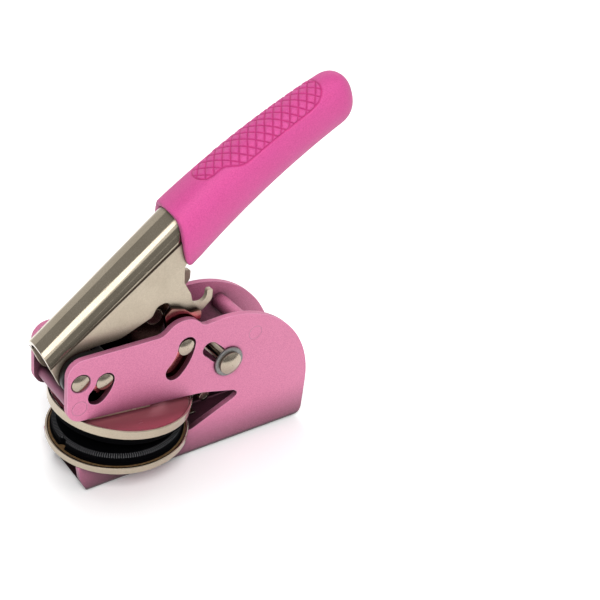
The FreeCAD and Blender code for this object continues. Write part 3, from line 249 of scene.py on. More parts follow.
def turned_ring(profile: np.ndarray, centre: Point,
                count: int) -> Tuple[np.ndarray, np.ndarray]:
    """Turns a closed profile about an axis along Y: each point goes round at its radius.

    Args:
        profile: Closed loop of (radius, place along the axis) points.
        centre: Where the axis starts, in millimetres.
        count: Number of steps round.

    Returns:
        Points and faces of the ring.
    """
    turn = np.linspace(0.0, 2 * math.pi, count, endpoint=False)[:, None]
    radius, level = profile[None, :, 0], profile[None, :, 1]
    x, z = radius * np.cos(turn), radius * np.sin(turn)
    points = np.stack([x, np.broadcast_to(level, x.shape), z], -1).reshape(-1, 3)
    return points + np.array(centre), round_quads(count, profile.shape[0])


def rounded_loop(corners: Sequence[Tuple[float, float, float]], steps: int = 6) -> np.ndarray:
    """Closed flat loop with each corner rounded: an arc that touches both sides at that radius.

    Args:
        corners: The corners in order, each (u, v, radius).
        steps: Pieces in an arc.

    Returns:
        An array of (u, v) points.
    """
    loop: List[np.ndarray] = []
    for i, (u, v, radius) in enumerate(corners):
        corner = np.array([u, v])
        before = np.array(corners[i - 1][:2]) - corner
        after = np.array(corners[(i + 1) % len(corners)][:2]) - corner
        if radius <= 0:
            loop.append(corner[None, :])
            continue
        before, after = before / np.linalg.norm(before), after / np.linalg.norm(after)
        half = math.acos(float(np.clip(before @ after, -1, 1))) / 2
        middle = (before + after) / np.linalg.norm(before + after)
        centre = corner + middle * radius / math.sin(half)
        start = corner + before * radius / math.tan(half) - centre
        end = corner + after * radius / math.tan(half) - centre
        share = np.linspace(0.0, 1.0, steps + 1)[:, None]
        swing = math.pi - 2 * half
        arc = (start * np.sin((1 - share) * swing) + end * np.sin(share * swing)) / math.sin(swing)
        loop.append(centre + arc)
    return np.concatenate(loop)


# ---------------------------------------------------------------------------------------------
# Shader helpers
# ---------------------------------------------------------------------------------------------
class Sheet:
    """Adds and joins the nodes of one shader tree."""

    def __init__(self, tree: bpy.types.NodeTree) -> None:
        """Keeps the tree that the nodes go into."""
        self.tree = tree

    def add(self, kind: str, **settings: object) -> bpy.types.Node:
        """Adds a node.

        Args:
            kind: The node's type.
            settings: Its own properties, by name.

        Returns:
            The node.
        """
        node = self.tree.nodes.new(kind)
        for key, value in settings.items():
            setattr(node, key, value)
        return node

    def place(self) -> bpy.types.NodeSocket:
        """Adds the piece's own coordinates."""
        return self.add("ShaderNodeTexCoord").outputs["Object"]

    def off_middle(self) -> bpy.types.NodeSocket:
        """Adds the distance from the embosser's middle plane.

        Returns:
            The size of Y, in metres.
        """
        parts = self.add("ShaderNodeSeparateXYZ")
        self.feed(parts.inputs[0], self.place())
        return self.math("ABSOLUTE", parts.outputs["Y"])

    def reach(self, centre: object, kept: Point) -> bpy.types.NodeSocket:
        """Adds the distance from an axis: the length of what is left of the way to its centre.

        Args:
            centre: A point on the axis, in metres.
            kept: One for each coordinate that counts, zero for the one along the axis.

        Returns:
            The distance in metres.
        """
        away = self.vector("SUBTRACT", self.place(), centre)
        flat = self.vector("MULTIPLY", away.outputs["Vector"], kept)
        return self.vector("LENGTH", flat.outputs["Vector"]).outputs["Value"]

    def feed(self, socket: bpy.types.NodeSocket, value: object) -> None:
        """Joins a socket to an output, or sets it to a value.

        Args:
            socket: The socket.
            value: The output or the value.
        """
        if isinstance(value, bpy.types.NodeSocket):
            self.tree.links.new(value, socket)
        else:
            socket.default_value = value

    def math(self, operation: str, *values: object, clamp: bool = False) -> bpy.types.NodeSocket:
        """Adds a math node.

        Args:
            operation: What it does.
            values: Up to three numbers or outputs.
            clamp: Whether the result is held between zero and one.

        Returns:
            Its result.
        """
        node = self.add("ShaderNodeMath", operation=operation, use_clamp=clamp)
        for socket, value in zip(node.inputs, values):
            self.feed(socket, value)
        return node.outputs[0]

    def vector(self, operation: str, *values: object) -> bpy.types.Node:
        """Adds a vector math node.

        Args:
            operation: What it does.
            values: Vectors or outputs.

        Returns:
            The node.
        """
        node = self.add("ShaderNodeVectorMath", operation=operation)
        for socket, value in zip(node.inputs, values):
            self.feed(socket, value)
        return node

    def spread(self, value: object, low: float, high: float, to_low: float = 0.0,
               to_high: float = 1.0, smooth: bool = False) -> bpy.types.NodeSocket:
        """Maps a range of a value onto another one, held at its ends.

        Args:
            value: The value.
            low: Where the range starts.
            high: Where it ends.
            to_low: What its start becomes.
            to_high: What its end becomes.
            smooth: Whether the way between them is eased.

        Returns:
            The mapped value.
        """
        node = self.add("ShaderNodeMapRange", clamp=True,
                        interpolation_type="SMOOTHSTEP" if smooth else "LINEAR")
        self.feed(node.inputs["Value"], value)
        for key, number in (("From Min", low), ("From Max", high), ("To Min", to_low),
                            ("To Max", to_high)):
            node.inputs[key].default_value = number
        return node.outputs["Result"]

    def mix(self, share: object, first: object, second: object) -> bpy.types.NodeSocket:
        """Mixes two colours.

        Args:
            share: Share of the second one.
            first: The first colour.
            second: The second colour.

        Returns:
            The mixed colour.
        """
        node = self.add("ShaderNodeMix", data_type="RGBA")
        self.feed(node.inputs[0], share)
        self.feed(node.inputs[6], first)
        self.feed(node.inputs[7], second)
        return node.outputs[2]

    def use(self, group: bpy.types.NodeTree, **inputs: object) -> bpy.types.Node:
        """Places a node group.

        Args:
            group: The group.
            inputs: Its inputs, by name.

        Returns:
            The node that holds it.
        """
        node = self.add("ShaderNodeGroup", node_tree=group)
        for key, value in inputs.items():
            self.feed(node.inputs[key], value)
        return node


def new_group(name: str, inputs: Sequence[Tuple[str, str, object]],
              outputs: Sequence[Tuple[str, str]]) -> Tuple[bpy.types.NodeTree, Sheet, object, object]:
    """Starts a shader node group with named sockets.

    Args:
        name: Name of the group.
        inputs: Each input's name, socket kind and starting value.
        outputs: Each output's name and socket kind.

    Returns:
        The group, its sheet, its input node and its output node.
    """
    group = bpy.data.node_groups.new(name, "ShaderNodeTree")
    for key, kind, value in inputs:
        socket = group.interface.new_socket(name=key, in_out="INPUT", socket_type=kind)
        if value is not None:
            socket.default_value = value
    for key, kind in outputs:
        group.interface.new_socket(name=key, in_out="OUTPUT", socket_type=kind)
    sheet = Sheet(group)
    return group, sheet, sheet.add("NodeGroupInput"), sheet.add("NodeGroupOutput")


class Effects:
    """Shader node groups that several finishes share.

    `SHUT` and `CLEAR` bound the openness of deep and of open places. `HAIRLINES` and `SMUDGES` are
    the parts of the noise that become marks.
    """

    SHUT, CLEAR = 0.45, 0.88
    HAIRLINES = (0.62, 0.70)
    SMUDGES = (0.4, 0.7)

    def __init__(self) -> None:
        """Builds each group once."""
        self.edges = self._edges()
        self.grain = self._grain()
        self.ring = self._ring()
        self.marks = self._marks()
        self.painted_shade = self._painted_shade()

    @staticmethod
    def _edges() -> bpy.types.NodeTree:
        """Softened corners: the normal averaged over a radius, and how far it leaves the flat one.

        Returns:
            The group.
        """
        group, sheet, start, end = new_group(
            "worn_and_highlight_edges", [("Radius", "NodeSocketFloat", 0.0003), ("Gain", "NodeSocketFloat", 6.0)],
            [("Mask", "NodeSocketFloat"), ("Normal", "NodeSocketVector")])
        bevel = sheet.add("ShaderNodeBevel", samples=6)
        sheet.feed(bevel.inputs["Radius"], start.outputs["Radius"])
        flat = sheet.add("ShaderNodeNewGeometry")
        dot = sheet.vector("DOT_PRODUCT", bevel.outputs["Normal"], flat.outputs["Normal"])
        away = sheet.math("SUBTRACT", 1.0, dot.outputs["Value"])
        mask = sheet.math("MULTIPLY", away, start.outputs["Gain"], clamp=True)
        sheet.feed(end.inputs["Mask"], mask)
        sheet.feed(end.inputs["Normal"], bevel.outputs["Normal"])
        return group

    @staticmethod
    def _grain() -> bpy.types.NodeTree:
        """Surface grain: fine noise, broad noise, and the two together as a height.

        Returns:
            The group.
        """
        group, sheet, start, end = new_group(
            "surface_grain", [("Fine", "NodeSocketFloat", 2500.0), ("Broad", "NodeSocketFloat", 120.0),
                              ("Share", "NodeSocketFloat", 0.7)],
            [("Height", "NodeSocketFloat"), ("Fine", "NodeSocketFloat"),
             ("Broad", "NodeSocketFloat")])
        place = sheet.place()
        fine = sheet.add("ShaderNodeTexNoise")
        broad = sheet.add("ShaderNodeTexNoise")
        for node, key, detail in ((fine, "Fine", 2.0), (broad, "Broad", 4.0)):
            sheet.feed(node.inputs["Vector"], place)
            sheet.feed(node.inputs["Scale"], start.outputs[key])
            node.inputs["Detail"].default_value = detail
        fine_part = sheet.math("MULTIPLY", fine.outputs["Fac"], start.outputs["Share"])
        rest = sheet.math("SUBTRACT", 1.0, start.outputs["Share"])
        height = sheet.math("MULTIPLY_ADD", broad.outputs["Fac"], rest, fine_part)
        sheet.feed(end.inputs["Height"], height)
        sheet.feed(end.inputs["Fine"], fine.outputs["Fac"])
        sheet.feed(end.inputs["Broad"], broad.outputs["Fac"])
        return group

    @staticmethod
    def _ring() -> bpy.types.NodeTree:
        """A narrow ring on the side plates: one at its radius from the centre, nothing away from it.

        Returns:
            The group.
        """
        group, sheet, start, end = new_group(
            "side_ring", [("Centre", "NodeSocketVector", (0.0, 0.0, 0.0)),
                          ("Radius", "NodeSocketFloat", 0.0026), ("Width", "NodeSocketFloat", 0.0002)],
            [("Mask", "NodeSocketFloat")])
        length = sheet.reach(start.outputs["Centre"], ACROSS_Y)
        off = sheet.math("ABSOLUTE", sheet.math("SUBTRACT", length, start.outputs["Radius"]))
        share = sheet.math("DIVIDE", off, start.outputs["Width"])
        sheet.feed(end.inputs["Mask"], sheet.math("SUBTRACT", 1.0, share, clamp=True))
        return group

    @staticmethod
    def _painted_shade() -> bpy.types.NodeTree:
        """How open a place is, for painted shade: one in the open, falling to nothing deep between the
        plates.

        Returns:
            The group.
        """
        group, sheet, start, end = new_group(
            "openness_for_painted_shade", [("Reach", "NodeSocketFloat", 0.028)], [("Open", "NodeSocketFloat")])
        near = sheet.add("ShaderNodeAmbientOcclusion", samples=8)
        sheet.feed(near.inputs["Distance"], start.outputs["Reach"])
        sheet.feed(end.inputs["Open"], sheet.spread(near.outputs["AO"], Effects.SHUT, Effects.CLEAR))
        return group

    @staticmethod
    def _marks() -> bpy.types.NodeTree:
        """Handling marks: stretched noise cut to thin hairlines, and soft smudges.

        Returns:
            The group.
        """
        group, sheet, start, end = new_group(
            "handling_marks", [("Scale", "NodeSocketFloat", 90.0)],
            [("Hairlines", "NodeSocketFloat"), ("Smudges", "NodeSocketFloat")])
        place = sheet.place()
        stretch = sheet.add("ShaderNodeMapping")
        stretch.inputs["Rotation"].default_value = (0.3, math.radians(50.0), 0.2)
        stretch.inputs["Scale"].default_value = (1.0, 14.0, 14.0)
        sheet.feed(stretch.inputs["Vector"], place)
        lines = sheet.add("ShaderNodeTexNoise")
        sheet.feed(lines.inputs["Vector"], stretch.outputs["Vector"])
        sheet.feed(lines.inputs["Scale"], start.outputs["Scale"])
        lines.inputs["Detail"].default_value = 4.0
        smudges = sheet.add("ShaderNodeTexNoise")
        sheet.feed(smudges.inputs["Vector"], place)
        sheet.feed(smudges.inputs["Scale"], start.outputs["Scale"])
        sheet.feed(end.inputs["Hairlines"], sheet.spread(lines.outputs["Fac"], *Effects.HAIRLINES))
        sheet.feed(end.inputs["Smudges"],
                   sheet.spread(smudges.outputs["Fac"], *Effects.SMUDGES, smooth=True))
        return group


# ---------------------------------------------------------------------------------------------
# Finishes
# ---------------------------------------------------------------------------------------------
def cleared_sheet(owner: object) -> Sheet:
    """Turns on the nodes of a material or a world, and takes away the ones it starts with.

    Args:
        owner: The material or world.

    Returns:
        The sheet of its empty tree.
    """
    owner.use_nodes = True
    owner.node_tree.nodes.clear()
    return Sheet(owner.node_tree)


def new_material(name: str) -> Tuple[bpy.types.Material, Sheet, bpy.types.Node]:
    """Starts a material with its Principled shader joined to the output.

    Args:
        name: Name of the material.

    Returns:
        The material, its sheet and its Principled node.
    """
    material = bpy.data.materials.new(name)
    sheet = cleared_sheet(material)
    shader = sheet.add("ShaderNodeBsdfPrincipled")
    output = sheet.add("ShaderNodeOutputMaterial")
    sheet.feed(output.inputs["Surface"], shader.outputs["BSDF"])
    return material, sheet, shader


def bump(sheet: Sheet, shader: bpy.types.Node, height: object, depth_mm: float,
         strength: float, under: Optional[object] = None) -> None:
    """Feeds a height to the shader's normal.

    Args:
        sheet: The material's sheet.
        shader: Its Principled node.
        height: The height, from 0 to 1.
        depth_mm: What a height of 1 stands for.
        strength: How strongly it shows.
        under: A normal that it goes on top of.
    """
    node = sheet.add("ShaderNodeBump")
    sheet.feed(node.inputs["Height"], height)
    node.inputs["Distance"].default_value = depth_mm * MM
    node.inputs["Strength"].default_value = strength
    if under is not None:
        sheet.feed(node.inputs["Normal"], under)
    sheet.feed(shader.inputs["Normal"], node.outputs["Normal"])


@dataclass(frozen=True)
class PowderCoat:
    """Pink powder coat: a fine even grain, with painted highlights along edges and painted shade where
    shut in.
    """

    name: str = "pink_powder_coat"
    colour: Colour = linear(221, 132, 168)
    # Painted highlight along the edges.
    edge_highlight: Colour = linear(239, 164, 198)
    deep: Colour = linear(200, 110, 147)
    groove: Colour = linear(120, 62, 88)
    # Painted shade, tinted maroon, for places shut in between the plates.
    painted_shade: Colour = linear(38, 10, 19)
    grain_per_m: float = 3300.0
    painted_shade_reach: float = 0.025
    # A darker middle for the front tube: painted shade, as from the lever above it.
    shaded_core_half_mm: float = 0.0
    shaded_core_blend_mm: float = 0.05
    shaded_core: Colour = linear(150, 86, 114)
    edge_mm: float = 0.5
    rivets: Tuple[Tuple[float, float], ...] = ((-21.0, 36.0), (44.8, 44.8))
    rivet_radius: float = 2.6
    rivet_line: float = 0.16
    pivot: Tuple[float, float] = (-20.7, 45.4)
    pivot_relief: float = 3.15
    relief_line: float = 0.4

    def build(self, effects: Effects) -> bpy.types.Material:
        """Makes the material.

        Args:
            effects: The shared node groups.

        Returns:
            The material.
        """
        material, sheet, shader = new_material(self.name)
        edges = sheet.use(effects.edges, Radius=self.edge_mm * MM, Gain=7.0)
        grain = sheet.use(effects.grain, Fine=self.grain_per_m, Broad=70.0, Share=0.8)
        shade = sheet.spread(grain.outputs["Fine"], 0.35, 0.65)
        base = sheet.mix(shade, self.deep, self.colour)
        base = sheet.mix(sheet.spread(grain.outputs["Broad"], 0.3, 0.8, 0.0, 0.25), base, self.colour)
        # Painted highlight along the edges.
        base = sheet.mix(sheet.math("MULTIPLY", edges.outputs["Mask"], 0.85), base, self.edge_highlight)
        mask: object = 0.0
        for x, z in self.rivets:
            ring = sheet.use(effects.ring, Centre=(x * MM, 0.0, z * MM),
                             Radius=self.rivet_radius * MM, Width=self.rivet_line * MM)
            mask = sheet.math("MAXIMUM", mask, ring.outputs["Mask"])
        # The dark ring in the pivot's relief is painted shade; the rivet rings are dark seams.
        relief_shade = sheet.use(effects.ring, Centre=(self.pivot[0] * MM, 0.0, self.pivot[1] * MM),
                           Radius=self.pivot_relief * MM, Width=self.relief_line * MM)
        base = sheet.mix(sheet.math("MULTIPLY", mask, 0.45), base, self.groove)
        base = sheet.mix(sheet.math("MULTIPLY", relief_shade.outputs["Mask"], 0.8), base, self.groove)
        # Painted shade on the tube's middle, between the plates.
        if self.shaded_core_half_mm:
            shaded_core = sheet.spread(sheet.off_middle(), (self.shaded_core_half_mm - self.shaded_core_blend_mm) * MM,
                                self.shaded_core_half_mm * MM, 1.0, 0.0)
            base = sheet.mix(shaded_core, base, self.shaded_core)
        # Painted shade where the place is shut in.
        air = sheet.use(effects.painted_shade, Reach=self.painted_shade_reach)
        base = sheet.mix(air.outputs["Open"], self.painted_shade, base)
        sheet.feed(shader.inputs["Base Color"], base)
        sheet.feed(shader.inputs["Roughness"], sheet.spread(grain.outputs["Fine"], 0.3, 0.7, 0.36, 0.5))
        height = sheet.math("MULTIPLY_ADD", mask, -1.2, grain.outputs["Height"])
        bump(sheet, shader, height, 0.05, 0.5, edges.outputs["Normal"])
        return material


@dataclass(frozen=True)
class Nickel:
    """Warm nickel plate: glossy and smooth on the folded back, satin on the pressed plates; its colour
    carries painted shade.
    """

    name: str = "nickel_plate"
    colour: Colour = linear(200, 188, 168)
    dull: Colour = linear(178, 165, 144)
    # Painted shade along the lever's crease and the band just above it.
    crease_shade: Colour = linear(60, 52, 42)
    # Painted highlight for the pans' rim and for edges.
    painted_highlight: Colour = linear(236, 228, 214)
    # Painted shade where the place is shut in.
    painted_shade: Colour = linear(44, 20, 18)
    painted_shade_reach: float = 0.022
    flank_mm: float = 0.0
    flank_blend_mm: float = 0.1
    # Painted reflection of the pink plates on the ram's outer sides.
    flank_reflection: Colour = linear(205, 101, 108)
    smooth: float = 0.09
    satin: float = 0.3
    metal: float = 1.0
    grain_depth: float = 0.012
    edge_mm: float = 0.25
    edge_light: float = 0.0
    floor_radius: float = 0.0
    floor_centre: Tuple[float, float] = (0.76, 0.0)
    # Painted rose reflection on the pan's floor.
    floor_reflection: Colour = linear(176, 94, 106)
    floor_metal: float = 0.35
    floor_blend_mm: float = 0.3
    rim_mm: float = 0.25
    rim_blend_mm: float = 0.1
    rim_rough: float = 0.1
    lever: bool = False
    back_blend_mm: float = 0.4
    crease_half_mm: float = 0.25
    # Strength and reach of the painted shade on the band above the crease.
    crease_band_shade: float = 0.55
    crease_band_mm: float = 1.8

    def build(self, effects: Effects) -> bpy.types.Material:
        """Makes the material.

        Args:
            effects: The shared node groups.

        Returns:
            The material.
        """
        material, sheet, shader = new_material(self.name)
        edges = sheet.use(effects.edges, Radius=self.edge_mm * MM, Gain=4.0)
        grain = sheet.use(effects.grain, Fine=2600.0, Broad=160.0, Share=0.75)
        marks = sheet.use(effects.marks, Scale=110.0)
        shade = sheet.spread(grain.outputs["Fine"], 0.3, 0.7, 0.0, 0.55)
        base = sheet.mix(shade, self.colour, self.dull)
        base = sheet.mix(sheet.math("MULTIPLY", marks.outputs["Smudges"], 0.25), base, self.dull)
        rough = sheet.spread(grain.outputs["Broad"], 0.3, 0.7, self.satin - 0.04, self.satin + 0.05)
        metal: object = self.metal
        height: object = grain.outputs["Height"]
        if self.lever:
            above = self._above_crease(sheet)
            back = sheet.spread(above, 0.0, self.back_blend_mm * MM)
            metal = sheet.spread(back, 0.0, 1.0, self.metal, 1.0)
            height = sheet.math("MULTIPLY", height, sheet.spread(back, 0.0, 1.0, 1.0, 0.08))
            rough = sheet.math("ADD", sheet.math("MULTIPLY", back, self.smooth - self.satin), rough)
            # Painted shade along the crease and on the band just above it.
            crease = sheet.math("SUBTRACT", 1.0, sheet.math(
                "DIVIDE", sheet.math("ABSOLUTE", above), self.crease_half_mm * MM), clamp=True)
            crease_band_shade = sheet.math("MULTIPLY", back,
                              sheet.spread(above, 0.0, self.crease_band_mm * MM, self.crease_band_shade, 0.0))
            base = sheet.mix(sheet.math("MAXIMUM", sheet.math("MULTIPLY", crease, 0.75), crease_band_shade),
                             base, self.crease_shade)
        rough = sheet.math("MULTIPLY_ADD", marks.outputs["Hairlines"], 0.05, rough)
        # Painted shade in shut-in places, or a painted pink reflection on the ram's outer sides.
        air = sheet.use(effects.painted_shade, Reach=self.painted_shade_reach)
        painted_shade: object = self.painted_shade
        if self.flank_mm:
            outer = sheet.spread(sheet.off_middle(), (self.flank_mm - self.flank_blend_mm) * MM,
                                 self.flank_mm * MM)
            painted_shade = sheet.mix(outer, self.painted_shade, self.flank_reflection)
        base = sheet.mix(air.outputs["Open"], painted_shade, base)
        # Painted rose reflection on the pan's floor, and a painted highlight on its rim.
        if self.floor_radius:
            centre = (self.floor_centre[0] * MM, self.floor_centre[1] * MM, 0.0)
            reach = sheet.reach(centre, ACROSS_Z)
            edge, blend = self.floor_radius * MM, self.rim_blend_mm * MM
            outer = edge + self.rim_mm * MM
            inner = sheet.spread(reach, edge - self.floor_blend_mm * MM, edge, 1.0, 0.0)
            base = sheet.mix(inner, base, self.floor_reflection)
            metal = sheet.spread(inner, 0.0, 1.0, self.metal, self.floor_metal)
            rim = sheet.math("MULTIPLY", sheet.spread(reach, edge, edge + blend),
                             sheet.spread(reach, outer, outer + blend, 1.0, 0.0))
            base = sheet.mix(rim, base, self.painted_highlight)
            rough = sheet.math("MULTIPLY_ADD", rim, self.rim_rough - self.satin, rough)
        # Painted highlight along the edges.
        if self.edge_light:
            base = sheet.mix(sheet.math("MULTIPLY", edges.outputs["Mask"], self.edge_light),
                             base, self.painted_highlight)
        sheet.feed(shader.inputs["Base Color"], base)
        sheet.feed(shader.inputs["Roughness"], rough)
        sheet.feed(shader.inputs["Metallic"], metal)
        bump(sheet, shader, height, self.grain_depth, 0.35, edges.outputs["Normal"])
        return material

    @staticmethod
    def _above_crease(sheet: Sheet) -> bpy.types.NodeSocket:
        """Distance above the lever's crease.

        A direction square to the crease is measured from the pivot, less the crease's own level.

        Args:
            sheet: The material's sheet.

        Returns:
            The distance in metres.
        """
        axes = LeverAxes()
        place = sheet.place()
        slope = math.radians(axes.slope_deg)
        fall = axes.crease_slope
        square = (-math.sin(slope) + fall * math.cos(slope), 0.0,
                  math.cos(slope) + fall * math.sin(slope))
        pivot = Vector((axes.pivot_x, 0.0, axes.pivot_z)) * MM
        level = Vector(square).dot(pivot) + (axes.crease_front - fall * axes.crease_ahead) * MM
        dot = sheet.vector("DOT_PRODUCT", place, square).outputs["Value"]
        return sheet.math("SUBTRACT", dot, level)


@dataclass(frozen=True)
class SoftGrip:
    """Soft matt pink grip, with painted shade darkening the grooves of its pressed pattern."""

    colour: Colour = linear(221, 89, 159)
    deep: Colour = linear(182, 36, 110)
    shade: Colour = linear(206, 75, 143)
    grain_per_m: float = 2600.0

    def build(self, effects: Effects) -> bpy.types.Material:
        """Makes the material.

        Args:
            effects: The shared node groups.

        Returns:
            The material.
        """
        material, sheet, shader = new_material("soft_pink_grip")
        grain = sheet.use(effects.grain, Fine=self.grain_per_m, Broad=60.0, Share=0.7)
        marks = sheet.use(effects.marks, Scale=60.0)
        groove = sheet.add("ShaderNodeAttribute", attribute_name="groove").outputs["Fac"]
        base = sheet.mix(sheet.spread(grain.outputs["Fine"], 0.3, 0.7), self.shade, self.colour)
        # Painted shade in the pattern's grooves.
        base = sheet.mix(sheet.math("MULTIPLY", groove, 0.9), base, self.deep)
        sheet.feed(shader.inputs["Base Color"], base)
        rough = sheet.spread(grain.outputs["Broad"], 0.3, 0.7, 0.5, 0.6)
        rough = sheet.math("MULTIPLY_ADD", marks.outputs["Smudges"], -0.05, rough)
        sheet.feed(shader.inputs["Roughness"], rough)
        shader.inputs["Subsurface Weight"].default_value = 0.08
        shader.inputs["Subsurface Radius"].default_value = (1.0, 0.35, 0.5)
        shader.inputs["Subsurface Scale"].default_value = 0.0008
        shader.inputs["Sheen Weight"].default_value = 0.08
        bump(sheet, shader, grain.outputs["Height"], 0.02, 0.35)
        return material


@dataclass(frozen=True)
class DarkFinish:
    """A dark coated or moulded surface with a fine grain and dulled edges."""

    name: str
    colour: Colour
    worn: Colour
    roughness: float
    grain_per_m: float = 2200.0
    depth_mm: float = 0.02
    edge_mm: float = 0.25
    wear: float = 0.35
    shine: float = 0.3
    ticks_highlighted: bool = False
    # Painted highlight on the die's ticks.
    tick_highlight: Colour = linear(92, 92, 94)

    def build(self, effects: Effects) -> bpy.types.Material:
        """Makes the material.

        Args:
            effects: The shared node groups.

        Returns:
            The material.
        """
        material, sheet, shader = new_material(self.name)
        edges = sheet.use(effects.edges, Radius=self.edge_mm * MM, Gain=4.0)
        grain = sheet.use(effects.grain, Fine=self.grain_per_m, Broad=130.0, Share=0.6)
        marks = sheet.use(effects.marks, Scale=100.0)
        wear = sheet.math("MULTIPLY", edges.outputs["Mask"],
                          sheet.spread(grain.outputs["Broad"], 0.35, 0.65, 0.0, self.wear))
        base = sheet.mix(sheet.spread(grain.outputs["Fine"], 0.4, 0.7, 0.0, 0.3), self.colour, self.worn)
        base = sheet.mix(wear, base, self.worn)
        # Painted highlight on the die's ticks.
        if self.ticks_highlighted:
            tick = sheet.add("ShaderNodeAttribute", attribute_name="tick").outputs["Fac"]
            base = sheet.mix(sheet.math("MULTIPLY", tick, 0.8), base, self.tick_highlight)
        sheet.feed(shader.inputs["Base Color"], base)
        rough = sheet.spread(grain.outputs["Fine"], 0.3, 0.7, self.roughness - 0.06,
                             self.roughness + 0.08)
        rough = sheet.math("MULTIPLY_ADD", marks.outputs["Smudges"], 0.06, rough)
        sheet.feed(shader.inputs["Roughness"], rough)
        shader.inputs["Specular IOR Level"].default_value = self.shine
        bump(sheet, shader, grain.outputs["Height"], self.depth_mm, 0.5, edges.outputs["Normal"])
        return material


@dataclass(frozen=True)
class Fibre:
    """Pressed brown fibre board with short fibres lying every way."""

    colour: Colour = linear(112, 86, 56)
    dark: Colour = linear(74, 55, 34)
    pale: Colour = linear(148, 122, 86)

    def build(self, effects: Effects) -> bpy.types.Material:
        """Makes the material.

        Args:
            effects: The shared node groups.

        Returns:
            The material.
        """
        material, sheet, shader = new_material("pressed_fibre")
        grain = sheet.use(effects.grain, Fine=1500.0, Broad=260.0, Share=0.5)
        marks = sheet.use(effects.marks, Scale=260.0)
        base = sheet.mix(sheet.spread(grain.outputs["Fine"], 0.3, 0.7), self.dark, self.colour)
        base = sheet.mix(sheet.math("MULTIPLY", marks.outputs["Hairlines"], 0.6), base, self.pale)
        sheet.feed(shader.inputs["Base Color"], base)
        sheet.feed(shader.inputs["Roughness"], sheet.spread(grain.outputs["Broad"], 0.3, 0.7, 0.75, 0.9))
        bump(sheet, shader, grain.outputs["Height"], 0.04, 0.7)
        return material


@dataclass(frozen=True)
class TurnedSteel:
    """Grey steel with fine turning rings about the latch's own axis."""

    colour: Colour = linear(150, 150, 148)
    dark: Colour = linear(96, 96, 96)
    centre: Tuple[float, float] = (34.3, 36.6)
    pitch_mm: float = 0.22

    def build(self, effects: Effects) -> bpy.types.Material:
        """Makes the material.

        Args:
            effects: The shared node groups.

        Returns:
            The material.
        """
        material, sheet, shader = new_material("turned_grey_steel")
        edges = sheet.use(effects.edges, Radius=0.2 * MM, Gain=4.0)
        grain = sheet.use(effects.grain, Fine=1800.0, Broad=240.0, Share=0.5)
        length = sheet.reach((self.centre[0] * MM, 0.0, self.centre[1] * MM), ACROSS_Y)
        wave = sheet.math("SINE", sheet.math("MULTIPLY", length, 2 * math.pi / (self.pitch_mm * MM)))
        ring = sheet.math("MULTIPLY_ADD", wave, 0.5, 0.5)
        broken = sheet.math("MULTIPLY", ring, grain.outputs["Fine"])
        base = sheet.mix(sheet.spread(broken, 0.1, 0.6), self.colour, self.dark)
        sheet.feed(shader.inputs["Base Color"], base)
        sheet.feed(shader.inputs["Roughness"], sheet.spread(grain.outputs["Fine"], 0.3, 0.7, 0.38, 0.52))
        shader.inputs["Metallic"].default_value = 0.85
        bump(sheet, shader, broken, 0.01, 0.6, edges.outputs["Normal"])
        return material


class Finishes:
    """Every material of the embosser, by its slot."""

    def __init__(self) -> None:
        """Builds the shared groups and the materials."""
        effects = Effects()
        self.paint = PowderCoat().build(effects)
        # A shaded copy of the paint for the front tube: painted shade on its middle.
        self.shaded_tubes = PowderCoat(name="pink_tube_painted_shade", shaded_core_half_mm=10.45).build(effects)
        self.nickel = Nickel().build(effects)
        self.lever = Nickel(name="nickel_lever", lever=True, satin=0.36, metal=0.6,
                            painted_shade_reach=0.011).build(effects)
        # Pans: painted shade, a painted rose reflection on the floor, painted highlights on rim and
        # edges.
        self.pans = Nickel(name="nickel_pans", colour=linear(181, 169, 151),
                           dull=linear(162, 149, 131), painted_shade=linear(120, 78, 80), satin=0.2,
                           painted_shade_reach=0.004, edge_light=0.7, floor_radius=23.0).build(effects)
        # The foot gets painted highlights along its edges and painted shade where shut in.
        self.foot = Nickel(name="nickel_foot", satin=0.25, metal=0.4, painted_shade_reach=0.002,
                           edge_light=0.8).build(effects)
        # A darkened copy of nickel for the parts inside: painted shade, with a painted pink reflection on
        # their outer sides.
        self.ram = Nickel(name="nickel_ram_painted_shade", colour=linear(132, 102, 92), dull=linear(104, 74, 66),
                          painted_shade=linear(26, 8, 8), flank_mm=9.45, satin=0.18).build(effects)
        # The pins get painted shade where they are shut in.
        self.pins = Nickel(name="nickel_pins", colour=linear(182, 170, 154),
                           dull=linear(161, 148, 131), painted_shade=linear(126, 102, 92), satin=0.2,
                           painted_shade_reach=0.008, grain_depth=0.004).build(effects)
        self.grip = SoftGrip().build(effects)
        self.spring = DarkFinish("black_spring_steel", linear(9, 9, 10), linear(34, 34, 36), 0.32,
                                 edge_mm=0.2).build(effects)
        self.insert = DarkFinish("black_moulding", linear(10, 9, 9), linear(26, 25, 25), 0.55,
                                 grain_per_m=1600.0, depth_mm=0.04).build(effects)
        self.die = DarkFinish("black_die", linear(3, 3, 4), linear(10, 10, 12), 0.45,
                              depth_mm=0.015, shine=0.01, ticks_highlighted=True).build(effects)
        self.fibre = Fibre().build(effects)
        self.washer = TurnedSteel().build(effects)

    def of_slot(self, slot: str) -> bpy.types.Material:
        """Gives the material of a slot.

        Args:
            slot: Name of the slot.

        Returns:
            Its material.
        """
        return {
            Slot.PAINT.value: self.paint,
            Slot.NICKEL.value: self.nickel,
            Slot.GRIP.value: self.grip,
            Slot.BLACK_STEEL.value: self.spring,
            Slot.BLACK_PLASTIC.value: self.insert,
            Slot.FIBRE.value: self.fibre,
            Slot.DIE.value: self.die,
            Slot.WASHER_STEEL.value: self.washer,
        }[slot]


